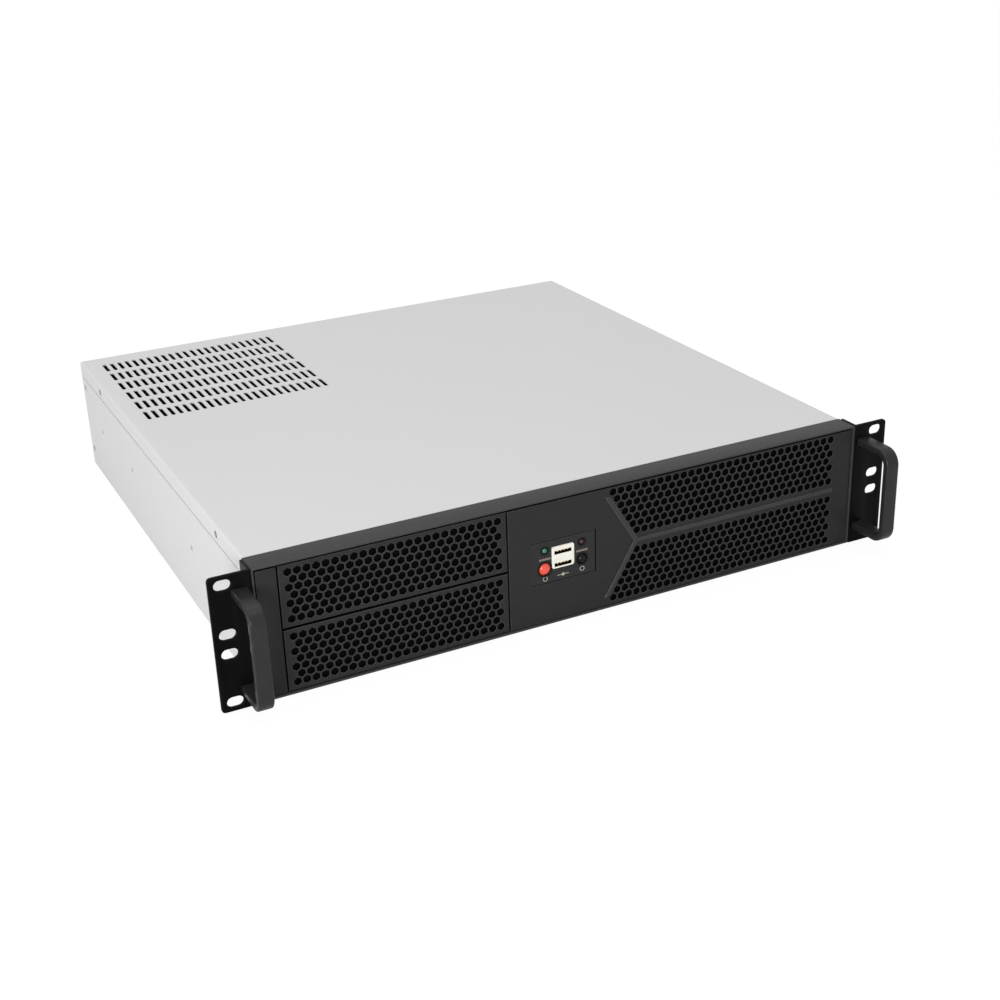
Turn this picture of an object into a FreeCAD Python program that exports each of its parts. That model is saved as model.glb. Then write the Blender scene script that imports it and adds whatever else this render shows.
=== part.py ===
import FreeCAD, Part

import math
import os

# Empty 2U rackmount server case, sizes in millimetres.
# Frame: X to the right seen from the front, Y from the rack face to the rear, Z up.
# Origin: middle of the rack slots, in the front face of the ears.

# Rack interface
ear_reach = 26.3
ear_height = 88.1
rack_slot_edge = 8.75
rack_slot_outer_z = 38.1
rack_slot_inner_z = 6.35
rack_slot_length = 10.3
rack_slot_width = 6.8

# Case body
case_width = 430.0
case_depth = 430.0
body_height = 87.6
front_depth = 17.5
sheet = 0.8
front_sheet = 1.2
ear_sheet = 2.0
bend_radius = 1.6
cover_flange = 11.1
seam_gap = 0.4
fit_gap = 0.2
press_gap = 0.05

# Ears and handles
ear_corner = 2.5
ear_web_depth = 15.5
handle_width = 10.0
handle_bar = 5.0
handle_height = 68.0
handle_reach = 32.0
handle_bend = 11.0
handle_edge = 0.9
handle_from_case = 3.0

# Front moulding and its inserts
fascia_recess = 1.0
fascia_wall = 2.4
fascia_depth = 14.5
fascia_side_gap = 0.6
post_width = 12.7
bay_width = 149.0
bay_cover_gap = 0.4
bay_cover_thickness = 2.2
bay_cover_depth = 9.0
bay_cover_lip = 0.2
rail_depth = 7.0
rail_height = 1.4
chevron_from_control = 51.6
chevron_slope = 0.61
chevron_width = 3.5
chevron_end_margin = 7.0
middle_rib_width = 1.8
rib_height = 0.6
grille_side_margin = 13.2
cell_rows = 3
cell_web = 2.4
cell_margin = 3.0

# Control plate and what looks through it
control_from_bay = 39.4
control_width = 46.0
control_height = 29.3
control_thickness = 1.2
control_recess = 0.5
control_gap = 0.15
power_from_middle = -13.5
power_z = -4.8
power_radius = 4.1
reset_from_middle = 13.3
reset_z = -3.8
reset_radius = 3.2
button_gap = 0.3
button_proud = 1.0
button_travel = 0.8
led_z = 8.1
led_radius = 2.0
led_proud = 0.6
usb_from_middle = -0.6
usb_z = 1.8
usb_width = 16.0
usb_height = 15.2
usb_port_width = 12.4
usb_port_height = 4.7
usb_port_pitch = 8.6
usb_tongue_height = 1.9
board_y = 11.6
board_thickness = 1.6
filter_thickness = 2.0
filter_margin = 1.6

# Top cover vent
vent_side_margin = 12.0
vent_width = 138.8
vent_columns = 8
vent_slot_width = 9.0
vent_rows = 6
vent_pitch_y = 24.6
vent_slot_length = 18.6
vent_rear_margin = 17.0

# Side holes
rail_hole_z = 1.6
rail_hole_front_y = 134.5
rail_hole_middle_y = 286.8
rail_hole_rear_y = 375.8
rail_hole_radius = 2.0

# Rear panel
flange_width = 12.0
psu_left_gap = 6.2
psu_width = 150.0
psu_height = 86.0
psu_depth = 140.0
psu_border = 11.0
psu_hole_radius = 2.0
psu_hole_edge = 6.0
psu_upper_left_drop = 64.0
psu_lower_right_edge = 30.0
io_width = 158.75
io_height = 44.45
io_side_margin = 14.2
io_above_floor = 5.0
card_slot_pitch = 20.32
card_slot_count = 4
card_slot_width = 13.0
card_slot_top_z = 24.0
card_slot_bottom_z = -37.0
first_card_from_side = 187.5
cover_plate_width = 18.4
rear_vent_count = 7
rear_vent_pitch = 22.0
rear_vent_width = 10.0
rear_vent_height = 22.0
rear_vent_z = 25.0
flange_depth = 9.0

# Inside
cage_depth = 150.0
cage_flange = 8.0
fixing_slot_length = 12.0
fixing_slot_height = 4.0
drive_width = 102.6
drive_length = 105.0
drive_wall = 24.0
drive_from_side = 103.0
drive_y = 62.0
fan_size = 80.0
fan_depth = 25.0
fan_bore = 38.0
fan_hub = 16.5
fan_throat_sides = 28
fan_hub_sides = 21
fan_blades = 7
fan_from_side = 101.0
fan_start_gap = 1.5
fan_arm_width = 4.0
blade_pitch = 40.0
blade_root_chord = 14.0
blade_tip_chord = 20.0
blade_tip_gap = 3.0
blade_thickness = 1.4
shaft_radius = 1.5
standoff_height = 6.35
standoff_across_flats = 5.5
standoff_bore = 1.25
board_hole_from_side = 18.4
board_hole_columns = 203.2
board_hole_first_row = 154.94
board_hole_last_row = 227.33
board_hole_rear = 12.0

half_width = case_width / 2
rack_width = case_width + 2 * ear_reach
rack_slot_x = rack_width / 2 - rack_slot_edge
top_z = body_height / 2
bottom_z = -body_height / 2
floor_z = bottom_z + sheet
ceiling_z = top_z - sheet
seam_z = top_z - cover_flange
inside_x = half_width - sheet
front_inside_z = top_z - front_sheet
front_inside_x = half_width - front_sheet
fascia_x = front_inside_x - 2 * fascia_side_gap + fit_gap
fascia_z = front_inside_z - fascia_side_gap
fascia_back_y = fascia_recess + fascia_depth
bay_left_x = -fascia_x + post_width
bay_right_x = bay_left_x + bay_width
control_x = bay_right_x + control_from_bay
power_x = control_x + power_from_middle
reset_x = control_x + reset_from_middle
usb_x = control_x + usb_from_middle
chevron_tip_x = control_x + chevron_from_control
grille_right_x = fascia_x - grille_side_margin
vent_left_x = -half_width + vent_side_margin
io_right_x = half_width - io_side_margin
first_card_x = half_width - first_card_from_side
drive_x = half_width - drive_from_side
fan_x = half_width - fan_from_side
board_hole_x = half_width - board_hole_from_side
tan_30 = math.tan(math.radians(30))
field_height = fascia_z - fit_gap - bay_cover_gap - 2 * cell_margin
field_middle_z = (fascia_z - fit_gap + bay_cover_gap) / 2
cell_pitch = (field_height + 2 * cell_web * tan_30) / (2 * tan_30 + (cell_rows - 1) / (2 * tan_30))
cell_across_flats = cell_pitch - cell_web
vent_pitch_x = vent_width / (vent_columns - 1)


def box(x, y, z):
    """Box from three (low, high) pairs."""
    corner = FreeCAD.Vector(x[0], y[0], z[0])
    return Part.makeBox(x[1] - x[0], y[1] - y[0], z[1] - z[0], corner)


def cylinder(centre, radius, length, direction):
    """Cylinder that starts at centre and runs length along direction."""
    return Part.makeCylinder(radius, length, FreeCAD.Vector(*centre), FreeCAD.Vector(*direction))


def wire(points):
    """Closed polygon through points."""
    vectors = [FreeCAD.Vector(*point) for point in points]
    return Part.makePolygon(vectors + vectors[:1])


def prism(points, direction):
    """Polygon pushed along direction."""
    return Part.Face(wire(points)).extrude(FreeCAD.Vector(*direction))


def drum(centre, radius, sides, length):
    """Round piece with few flats that starts at centre and runs length along +Y."""
    points = []
    for i in range(sides):
        angle = 2 * math.pi * (i + 0.5) / sides
        points.append((centre[0] + radius * math.cos(angle), centre[1], centre[2] + radius * math.sin(angle)))
    return prism(points, (0, length, 0))


def pierced(outline, holes, direction):
    """Plate with many holes, pushed along direction from its outline."""
    face = Part.makeFace([outline] + holes, "Part::FaceMakerBullseye")
    return face.extrude(FreeCAD.Vector(*direction))


def join(shapes):
    """Fuse touching shapes and merge their coplanar faces."""
    return shapes[0].multiFuse(shapes[1:]).removeSplitter()


def mirrored(shape):
    """The same piece on the other side of the case."""
    return shape.mirror(FreeCAD.Vector(0, 0, 0), FreeCAD.Vector(1, 0, 0))


def both_sides(shapes):
    return shapes + [mirrored(shape) for shape in shapes]


def edges_along(shape, axis, keep):
    """Straight edges parallel to axis (0, 1 or 2) whose middle passes keep."""
    found = []
    for edge in shape.Edges:
        if edge.Curve.TypeId != "Part::GeomLine":
            continue
        direction = edge.Curve.Direction
        if abs(abs(direction[axis]) - 1) < 1e-6 and keep(edge.CenterOfMass):
            found.append(edge)
    return found


def save(name, shape):
    """Write one sub-part to its STEP file."""
    shape.exportStep(os.path.join("parts", name + ".step"))


def side_profile():
    """Left half of the tray's section, outer line then inner line, in X and Z."""
    step = sheet + fit_gap
    wall_top = ceiling_z - press_gap
    shoulder = seam_z - seam_gap
    outer = [(-half_width + step, wall_top), (-half_width + step, shoulder)]
    outer += [(-half_width, shoulder - step), (-half_width, bottom_z)]
    inner = [(x + sheet, z) for x, z in outer[:3]] + [(-inside_x, floor_z)]
    return outer, inner


def chassis_tray():
    """Floor and sides folded from one sheet, stepped in under the cover's flanges."""
    outer, inner = side_profile()
    outer += [(-x, z) for x, z in reversed(outer)]
    inner += [(-x, z) for x, z in reversed(inner)]
    section = outer + list(reversed(inner))
    length = case_depth - front_depth
    tray = prism([(x, front_depth, z) for x, z in section], (0, length, 0))
    tray = tray.makeFillet(bend_radius, edges_along(tray, 1, lambda p: p.z < bottom_z + 0.01))
    flange_top = seam_z - seam_gap - sheet - fit_gap
    flange_x = (-inside_x, -inside_x + flange_width - sheet)
    flange = box(flange_x, (front_depth, front_depth + sheet), (floor_z, flange_top))
    tray = join([tray] + both_sides([flange]))
    holes = []
    for y in (rail_hole_front_y, rail_hole_middle_y, rail_hole_rear_y):
        holes.append(cylinder((-half_width - 1, y, rail_hole_z), rail_hole_radius, sheet + 2, (1, 0, 0)))
    return tray.cut(both_sides(holes))


def vent_slots(y_rear):
    """Outlines of the slots above the power supply, rear row first."""
    slots = []
    for row in range(vent_rows):
        y1 = y_rear - row * vent_pitch_y
        y0 = y1 - vent_slot_length
        for column in range(vent_columns):
            x0 = vent_left_x + column * vent_pitch_x
            x1 = x0 + vent_slot_width
            corners = ((x0, y0), (x1, y0), (x1, y1), (x0, y1))
            slots.append(wire([(x, y, ceiling_z) for x, y in corners]))
    return slots


def top_cover():
    """Lid with a vented rear corner and two folded sides."""
    y0 = front_depth + fit_gap
    outline = wire([(-inside_x, y0, ceiling_z), (inside_x, y0, ceiling_z),
                    (inside_x, case_depth, ceiling_z), (-inside_x, case_depth, ceiling_z)])
    lid = pierced(outline, vent_slots(case_depth - vent_rear_margin), (0, 0, sheet))
    side = box((-half_width, -inside_x), (y0, case_depth), (seam_z, top_z))
    cover = join([lid] + both_sides([side]))
    corners = edges_along(cover, 1, lambda p: p.z > top_z - 0.01 and abs(p.x) > half_width - 0.01)
    return cover.makeFillet(bend_radius, corners)


def front_panel():
    """Shallow black box, open to the front, that carries the moulding, the fans and the ears."""
    shell = box((-half_width, half_width), (0, front_depth), (bottom_z, top_z))
    inside = box((-front_inside_x, front_inside_x), (-1, front_depth - front_sheet),
                 (-front_inside_z, front_inside_z))
    wall = (front_depth - front_sheet - 1, front_depth + 1)
    border = rail_height + fascia_side_gap
    cuts = [inside, box((bay_left_x, bay_right_x), wall, (-front_inside_z + border, front_inside_z - border))]
    cuts.append(drum((fan_x, wall[0], 0), fan_bore, fan_throat_sides, wall[1] - wall[0]))
    slot_x = (control_x - control_width / 3, control_x + control_width / 3)
    cuts.append(box(slot_x, wall, (-control_height / 3, control_height / 3)))
    return shell.cut(cuts)


def rack_slot(x, z):
    """Round-ended hole through the ear, long way across."""
    reach = (rack_slot_length - rack_slot_width) / 2
    radius = rack_slot_width / 2
    middle = box((x - reach, x + reach), (-1, ear_sheet + 1), (z - radius, z + radius))
    ends = [cylinder((x + side * reach, -1, z), radius, ear_sheet + 2, (0, 1, 0)) for side in (-1, 1)]
    return middle.multiFuse(ends)


def left_ear():
    """Rack ear: front plate with slots and a web that lies on the side of the front box."""
    plate = box((-rack_width / 2, -half_width), (0, ear_sheet), (-ear_height / 2, ear_height / 2))
    web = box((-half_width - ear_sheet, -half_width), (0, ear_web_depth), (-ear_height / 2, ear_height / 2))
    ear = join([plate, web])
    ear = ear.makeFillet(bend_radius, edges_along(ear, 2, lambda p: p.x > -half_width - 0.01 and p.y < 0.01))
    ear = ear.makeFillet(ear_corner, edges_along(ear, 1, lambda p: p.x < -rack_width / 2 + 0.01))
    cuts = [rack_slot(-rack_slot_x, z) for z in
            (rack_slot_outer_z, rack_slot_inner_z, -rack_slot_inner_z, -rack_slot_outer_z)]
    return ear.cut(cuts)


def handle_middle_x():
    return -half_width - handle_from_case - handle_width / 2


def bow(front_y, half_height, radius):
    """U outline in the YZ plane that opens at the ear, with round corners."""
    reach = half_height - radius
    turn_y = front_y + radius
    slant = radius * math.sqrt(0.5)

    def at(y, z):
        return FreeCAD.Vector(handle_middle_x() - handle_width / 2, y, z)

    edges = [Part.LineSegment(at(0, half_height), at(turn_y, half_height)),
             Part.Arc(at(turn_y, half_height), at(turn_y - slant, reach + slant), at(front_y, reach)),
             Part.LineSegment(at(front_y, reach), at(front_y, -reach)),
             Part.Arc(at(front_y, -reach), at(turn_y - slant, -reach - slant), at(turn_y, -half_height)),
             Part.LineSegment(at(turn_y, -half_height), at(0, -half_height)),
             Part.LineSegment(at(0, -half_height), at(0, half_height))]
    return Part.Wire([edge.toShape() for edge in edges])


def left_handle():
    """Flat bar bent to a U, with its outer edges eased."""
    across = FreeCAD.Vector(handle_width, 0, 0)
    outside = Part.Face(bow(-handle_reach, handle_height / 2, handle_bend)).extrude(across)
    rims = [edge for edge in outside.Edges
            if max(abs(vertex.X - edge.CenterOfMass.x) for vertex in edge.Vertexes) < 0.01
            and edge.CenterOfMass.y < -0.01]
    inside_height = handle_height / 2 - handle_bar
    inside = Part.Face(bow(handle_bar - handle_reach, inside_height, handle_bend - handle_bar))
    return outside.makeChamfer(handle_edge, rims).cut(inside.extrude(across))


def hexagon(x, y, z, across_flats):
    """Hexagonal hole outline standing on a corner."""
    radius = across_flats / math.sqrt(3)
    angles = [math.radians(30 + 60 * i) for i in range(6)]
    return wire([(x + radius * math.cos(a), y, z + radius * math.sin(a)) for a in angles])


def honeycomb(x_low, x_high, z_middle, y, left_limit):
    """Hexagon outlines in staggered rows between x_low and x_high, right of left_limit(z)."""
    cells = []
    row_pitch = cell_pitch * math.sqrt(3) / 2
    reach = cell_across_flats / 2
    for row in range(cell_rows):
        z = z_middle + (row - (cell_rows - 1) / 2) * row_pitch
        x = x_high - reach - (row % 2) * cell_pitch / 2
        while x - reach >= max(x_low, left_limit(z)):
            cells.append(hexagon(x, y, z, cell_across_flats))
            x -= cell_pitch
    return cells


def bay_cover(z_low, z_high):
    """Blanking plate of one drive bay: honeycomb face and a low wall behind it."""
    x_low = bay_left_x + bay_cover_gap
    x_high = bay_right_x - bay_cover_gap
    front_y = fascia_recess - bay_cover_lip
    back_y = front_y + bay_cover_thickness
    outline = wire([(x_low, front_y, z_low), (x_high, front_y, z_low),
                    (x_high, front_y, z_high), (x_low, front_y, z_high)])
    spare = (bay_width - 2 * bay_cover_gap - cell_across_flats) % cell_pitch
    margin = max(cell_margin, spare / 2)
    cells = honeycomb(x_low + margin, x_high - margin, (z_low + z_high) / 2, front_y, lambda z: x_low)
    plate = pierced(outline, cells, (0, bay_cover_thickness, 0))
    inset = rail_height + fascia_side_gap
    wall_z = (z_low + inset, z_high - inset)
    wall = sheet + fit_gap
    walls = [box((x_low + inset, x_low + inset + wall), (back_y, front_y + bay_cover_depth), wall_z),
             box((x_high - inset - wall, x_high - inset), (back_y, front_y + bay_cover_depth), wall_z)]
    return join([plate] + walls)


def chevron_x(z, offset):
    """Slanted line of the chevron at height z, moved right by offset."""
    return chevron_tip_x - abs(z) * chevron_slope + offset


def grille_cells():
    """Hexagons of the two grille fields, right of the chevron."""
    cells = []
    for middle in (field_middle_z, -field_middle_z):
        cells += honeycomb(0, grille_right_x - cell_margin, middle, fascia_recess,
                           lambda z: chevron_x(z, chevron_width + middle_rib_width))
    return cells


def grille_ribs():
    """Raised chevron line and the line across the middle of the grille."""
    y = fascia_recess - rib_height
    end = fascia_z - chevron_end_margin
    half_rib = middle_rib_width / 2
    upper = [(chevron_x(end, 0), y, end), (chevron_x(end, chevron_width), y, end),
             (chevron_x(half_rib, chevron_width), y, half_rib), (grille_right_x, y, half_rib)]
    lower = [(x, y, -z) for x, y, z in reversed(upper)]
    return prism(upper + lower + [(chevron_tip_x, y, 0)], (0, rib_height, 0))


def front_fascia():
    """Plastic moulding: left post, plain middle, chevron, honeycomb grille and a hollow back."""
    back_y = fascia_recess + fascia_wall
    rib = fascia_wall - sheet
    plate_x = (control_x - control_width / 2, control_x + control_width / 2)
    side_z = fascia_z - rail_height
    outline = wire([(bay_right_x, fascia_recess, -fascia_z), (fascia_x, fascia_recess, -fascia_z),
                    (fascia_x, fascia_recess, fascia_z), (bay_right_x, fascia_recess, fascia_z)])
    plate = pierced(outline, grille_cells(), (0, fascia_wall, 0))
    post = box((-fascia_x, bay_left_x), (fascia_recess, fascia_back_y), (-fascia_z, fascia_z))
    hollow_y = (back_y, fascia_back_y + 1)
    hollow_z = (-fascia_z + rib, fascia_z - rib)
    post_hollow = box((-fascia_x + rib, bay_left_x - rib), hollow_y, hollow_z)
    rim = box((bay_right_x, fascia_x), (back_y, fascia_back_y), (-fascia_z, fascia_z))
    rim_hollow = box((bay_right_x + rib, fascia_x - rib), hollow_y, hollow_z)
    rails = [box((bay_left_x, bay_right_x), (fascia_recess + rail_depth, fascia_back_y), z)
             for z in ((side_z, fascia_z), (-fascia_z, -side_z))]
    pocket = box(plate_x, (0, fascia_recess + control_recess + control_thickness),
                 (-control_height / 2, control_height / 2))
    window = box((plate_x[0] + rib, plate_x[1] - rib), (0, fascia_depth),
                 (rib - control_height / 2, control_height / 2 - rib))
    pillars = [box((x - rib, x), (back_y, board_y), (-rail_depth / 2, rail_depth / 2))
               for x in (plate_x[0], plate_x[1] + rib)]
    pieces = [plate.cut([pocket, window]), post.cut(post_hollow), rim.cut(rim_hollow), grille_ribs()]
    return join(pieces + rails + pillars)


def dust_filters():
    """Foam pads behind the grille and behind both bay covers."""
    inset = rail_height + fascia_side_gap + sheet + fit_gap
    y = fascia_recess + fascia_wall
    pads = [box((chevron_x(fascia_z, 0), grille_right_x + filter_margin), (y, y + filter_thickness),
                (filter_margin - fascia_z, fascia_z - filter_margin))]
    y = fascia_recess - bay_cover_lip + bay_cover_thickness
    x = (bay_left_x + bay_cover_gap + inset, bay_right_x - bay_cover_gap - inset)
    z_low = bay_cover_gap + filter_margin
    z_high = fascia_z - fit_gap - filter_margin
    for z in ((z_low, z_high), (-z_high, -z_low)):
        pads.append(box(x, (y, y + filter_thickness), z))
    return pads


def control_plate():
    """Small plate with holes for the buttons, lamps and sockets."""
    y0 = fascia_recess + control_recess
    half_x = control_width / 2 - control_gap
    half_z = control_height / 2 - control_gap
    plate = box((control_x - half_x, control_x + half_x), (y0, y0 + control_thickness), (-half_z, half_z))
    cuts = [box((usb_x - usb_width / 2 - control_gap, usb_x + usb_width / 2 + control_gap), (0, fascia_depth),
                (usb_z - usb_height / 2 - control_gap, usb_z + usb_height / 2 + control_gap))]
    holes = ((power_x, power_z, power_radius + button_gap), (reset_x, reset_z, reset_radius + button_gap),
             (power_x, led_z, led_radius + press_gap), (reset_x, led_z, led_radius + press_gap))
    for x, z, radius in holes:
        cuts.append(cylinder((x, 0, z), radius, fascia_depth, (0, 1, 0)))
    return plate.cut(cuts)


def button(x, z, radius):
    """Push button: round cap, square collar behind the plate and a stem to the switch."""
    front_y = fascia_recess - button_proud
    collar_y = fascia_recess + control_recess + control_thickness + fit_gap
    cap = cylinder((x, front_y, z), radius, collar_y - front_y, (0, 1, 0))
    reach = radius + button_gap + fit_gap
    collar = box((x - reach, x + reach), (collar_y, collar_y + sheet), (z - reach, z + reach))
    stem_end = switch_front_y() - fit_gap - button_travel
    stem = box((x - sheet, x + sheet), (collar_y + sheet, stem_end), (z - sheet, z + sheet))
    return join([cap, collar, stem])


def switch_front_y():
    return board_y - 2 * sheet


def switches():
    """Bodies of the two push switches on the control board."""
    half = reset_radius
    return [box((x - half, x + half), (switch_front_y(), board_y), (z - half, z + half))
            for x, z in ((power_x, power_z), (reset_x, reset_z))]


def lamp(x):
    """Lamp that stands on the board, its nose just proud of the plate."""
    nose_y = fascia_recess + control_recess - led_proud
    return cylinder((x, nose_y, led_z), led_radius, board_y - nose_y, (0, 1, 0))


def usb_sockets():
    """Twin socket block with a tongue in each port."""
    block = box((usb_x - usb_width / 2, usb_x + usb_width / 2), (fascia_recess, board_y),
                (usb_z - usb_height / 2, usb_z + usb_height / 2))
    block = block.makeFillet(bend_radius, edges_along(block, 1, lambda p: True))
    port_x = (usb_x - usb_port_width / 2, usb_x + usb_port_width / 2)
    tongue_x = (port_x[0] + 3 * fit_gap, port_x[1] - 3 * fit_gap)
    ports = []
    tongues = []
    for side in (-1, 1):
        z = usb_z + side * usb_port_pitch / 2
        top = z + usb_port_height / 2
        ports.append(box(port_x, (0, board_y - sheet), (top - usb_port_height, top)))
        tongue_z = (top - 3 * fit_gap - usb_tongue_height, top - 3 * fit_gap)
        tongues.append(box(tongue_x, (fascia_recess + sheet, board_y - sheet), tongue_z))
    return join([block.cut(ports)] + tongues)


def control_board():
    """Circuit board that carries the lamps, the sockets and the switches."""
    half_x = control_width / 2 + fascia_wall
    half_z = control_height / 2
    y = (board_y, board_y + board_thickness)
    return box((control_x - half_x, control_x + half_x), y, (-half_z, half_z))


def psu_left_x():
    return -inside_x + psu_left_gap


def psu_opening():
    """Rear cut-out for the power supply, inside the border that its screws need."""
    left = psu_left_x()
    half_z = psu_height / 2 - psu_border
    y = (case_depth - flange_depth, case_depth + 1)
    return box((left + psu_border, left + psu_width - psu_border), y, (-half_z, half_z))


def psu_screw_points():
    """The four screw holes of the power supply's rear face."""
    left = psu_left_x()
    right = left + psu_width
    top = psu_height / 2 - psu_hole_edge
    return [(left + psu_hole_edge, top), (right - psu_hole_edge, top),
            (left + psu_hole_edge, top - psu_upper_left_drop), (right - psu_lower_right_edge, -top)]


def card_xs():
    return [first_card_x - i * card_slot_pitch for i in range(card_slot_count)]


def rear_panel():
    """Back wall with openings for power supply, sockets and cards, and flanges on three sides."""
    y = (case_depth - sheet, case_depth)
    wall_x = inside_x - press_gap
    top = ceiling_z - press_gap
    narrow_x = wall_x - sheet - fit_gap
    shoulder = seam_z - seam_gap - 2 * sheet
    outline = [(-narrow_x, y[0], top), (-narrow_x, y[0], shoulder), (-wall_x, y[0], shoulder - sheet),
               (-wall_x, y[0], floor_z), (wall_x, y[0], floor_z), (wall_x, y[0], shoulder - sheet),
               (narrow_x, y[0], shoulder), (narrow_x, y[0], top)]
    panel = prism(outline, (0, sheet, 0))
    side = box((-wall_x, -wall_x + sheet), (case_depth - flange_width, y[0]), (floor_z, shoulder - sheet))
    flange_y = (case_depth - flange_width, y[0])
    top_flange = box((card_xs()[-1] - card_slot_pitch, io_right_x), flange_y, (top - sheet, top))
    cuts = [psu_opening()]
    cuts += [cylinder((x, y[0] - 1, z), psu_hole_radius, sheet + 2, (0, 1, 0)) for x, z in psu_screw_points()]
    io_bottom = floor_z + io_above_floor
    through = (y[0] - 1, y[1] + 1)
    cuts.append(box((io_right_x - io_width, io_right_x), through, (io_bottom, io_bottom + io_height)))
    for x in card_xs():
        slot_x = (x - card_slot_width / 2, x + card_slot_width / 2)
        cuts.append(box(slot_x, through, (card_slot_bottom_z, card_slot_top_z)))
    for i in range(rear_vent_count):
        x = io_right_x - rear_vent_width / 2 - i * rear_vent_pitch
        vent_x = (x - rear_vent_width / 2, x + rear_vent_width / 2)
        vent_z = (rear_vent_z - rear_vent_height / 2, rear_vent_z + rear_vent_height / 2)
        cuts.append(box(vent_x, through, vent_z))
    return join([panel, top_flange] + both_sides([side])).cut(cuts)


def shelf_z():
    return card_slot_top_z + 3 * sheet


def card_shelf():
    """Ledge inside the rear panel that the card covers are screwed to."""
    ends = (card_xs()[-1] - card_slot_pitch * 0.7, card_xs()[0] + card_slot_pitch * 0.6)
    z = (shelf_z() - sheet, shelf_z())
    inner_y = case_depth - sheet
    ledge = box(ends, (inner_y - flange_width - sheet, inner_y - 2 * sheet), z)
    legs = [box((x, x + 2 * sheet), (inner_y - 2 * sheet, inner_y), (z[0], z[1] + flange_width / 2))
            for x in (ends[0], ends[1] - 2 * sheet)]
    return join([ledge] + legs)


def card_covers():
    """One bent blanking strip for each card slot."""
    covers = []
    inner_y = case_depth - sheet
    z_top = shelf_z() + sheet
    half = cover_plate_width / 2
    for x in card_xs():
        strip = box((x - half, x + half), (inner_y - sheet, inner_y), (card_slot_bottom_z - 2 * sheet, z_top))
        tab = box((x - half, x + half), (inner_y - flange_width, inner_y), (z_top - sheet, z_top))
        covers.append(join([strip, tab]))
    return covers


def fixing_slot(x, y, z):
    """Cutter for a drive's screw slots, through both walls of a folded U."""
    half_length = fixing_slot_length / 2
    half_height = fixing_slot_height / 2
    return box((x[0] - 1, x[1] + 1), (y - half_length, y + half_length), (z - half_height, z + half_height))


def bay_cage():
    """Folded U that the drives of both front bays slide into."""
    x = (bay_left_x - sheet - fit_gap, bay_right_x + sheet + fit_gap)
    y = (front_depth + sheet + fit_gap, front_depth + sheet + cage_depth)
    top = ceiling_z - 2 * sheet
    shell = box(x, y, (floor_z, top))
    cage = shell.cut(box((x[0] + sheet, x[1] - sheet), (y[0] - 1, y[1] + 1), (floor_z + sheet, top + 1)))
    slots = [fixing_slot(x, y[0] + cage_depth * share, middle)
             for middle in (-field_middle_z, field_middle_z) for share in (0.3, 0.82)]
    opening_x = (x[0] + 5 * cage_flange, x[1] - 5 * cage_flange)
    opening_y = (y[0] + cage_flange, y[1] - cage_flange)
    lightening = box(opening_x, opening_y, (floor_z - 1, floor_z + sheet + 1))
    return cage.cut(slots + [lightening])


def drive_bracket():
    """Low folded tray for drives that stay inside the case."""
    x = (drive_x - drive_width / 2 - sheet, drive_x + drive_width / 2 + sheet)
    y = (drive_y, drive_y + drive_length)
    shell = box(x, y, (floor_z, floor_z + drive_wall))
    inside_z = (floor_z + sheet, floor_z + drive_wall + 1)
    bracket = shell.cut(box((x[0] + sheet, x[1] - sheet), (y[0] - 1, y[1] + 1), inside_z))
    slots = [fixing_slot(x, y[0] + drive_length * share, floor_z + drive_wall / 2) for share in (0.25, 0.75)]
    return bracket.cut(slots)


def psu_bracket():
    """Angle on the floor that stops the inner end of the power supply."""
    x = (psu_left_x(), psu_left_x() + psu_width)
    y = case_depth - sheet - psu_depth - 2 * fit_gap
    foot = box(x, (y - flange_width, y), (floor_z, floor_z + sheet))
    stop = box(x, (y - sheet, y), (floor_z, floor_z + 2 * flange_width))
    bracket = join([foot, stop])
    window = box((x[0] + flange_width, x[1] - flange_width), (y - 2, y + 2),
                 (floor_z + flange_width / 2, floor_z + 1.5 * flange_width))
    return bracket.cut(window)


def fan_frame():
    """Square frame with a round throat, four arms and the motor base."""
    half = fan_size / 2
    y1 = front_depth + fan_depth
    frame = box((fan_x - half, fan_x + half), (front_depth, y1), (-half, half))
    frame = frame.makeChamfer(fan_arm_width / 2, edges_along(frame, 1, lambda p: True))
    frame = frame.cut(drum((fan_x, front_depth - 1, 0), fan_bore, fan_throat_sides, fan_depth + 2))
    base = drum((fan_x, y1 - handle_bar, 0), fan_hub, fan_hub_sides, handle_bar)
    reach = fan_bore + 1
    half_arm = fan_arm_width / 2
    arm_y = (y1 - sheet * 4, y1)
    arms = [box((fan_x - reach, fan_x + reach), arm_y, (-half_arm, half_arm)),
            box((fan_x - half_arm, fan_x + half_arm), arm_y, (-reach, reach))]
    bearing = cylinder((fan_x, front_depth, 0), shaft_radius + press_gap, fan_depth + 1, (0, 1, 0))
    return join([frame, base] + arms).cut(bearing)


def blade(y_middle):
    """Flat tapered blade that stands up from the hub, set at blade_pitch."""
    pitch = math.radians(blade_pitch)
    along = FreeCAD.Vector(math.cos(pitch), math.sin(pitch), 0)
    across = FreeCAD.Vector(-math.sin(pitch), math.cos(pitch), 0)
    points = []
    root = (fan_hub - fan_arm_width / 2, blade_root_chord / 2)
    tip = (fan_bore - blade_tip_gap, blade_tip_chord / 2)
    for radius, half_chord in (root, tip):
        middle = FreeCAD.Vector(fan_x, y_middle, radius) - across * (blade_thickness / 2)
        ends = [middle - along * half_chord, middle + along * half_chord]
        points += [(point.x, point.y, point.z) for point in (ends if not points else reversed(ends))]
    return prism(points, tuple(across * blade_thickness))


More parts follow.
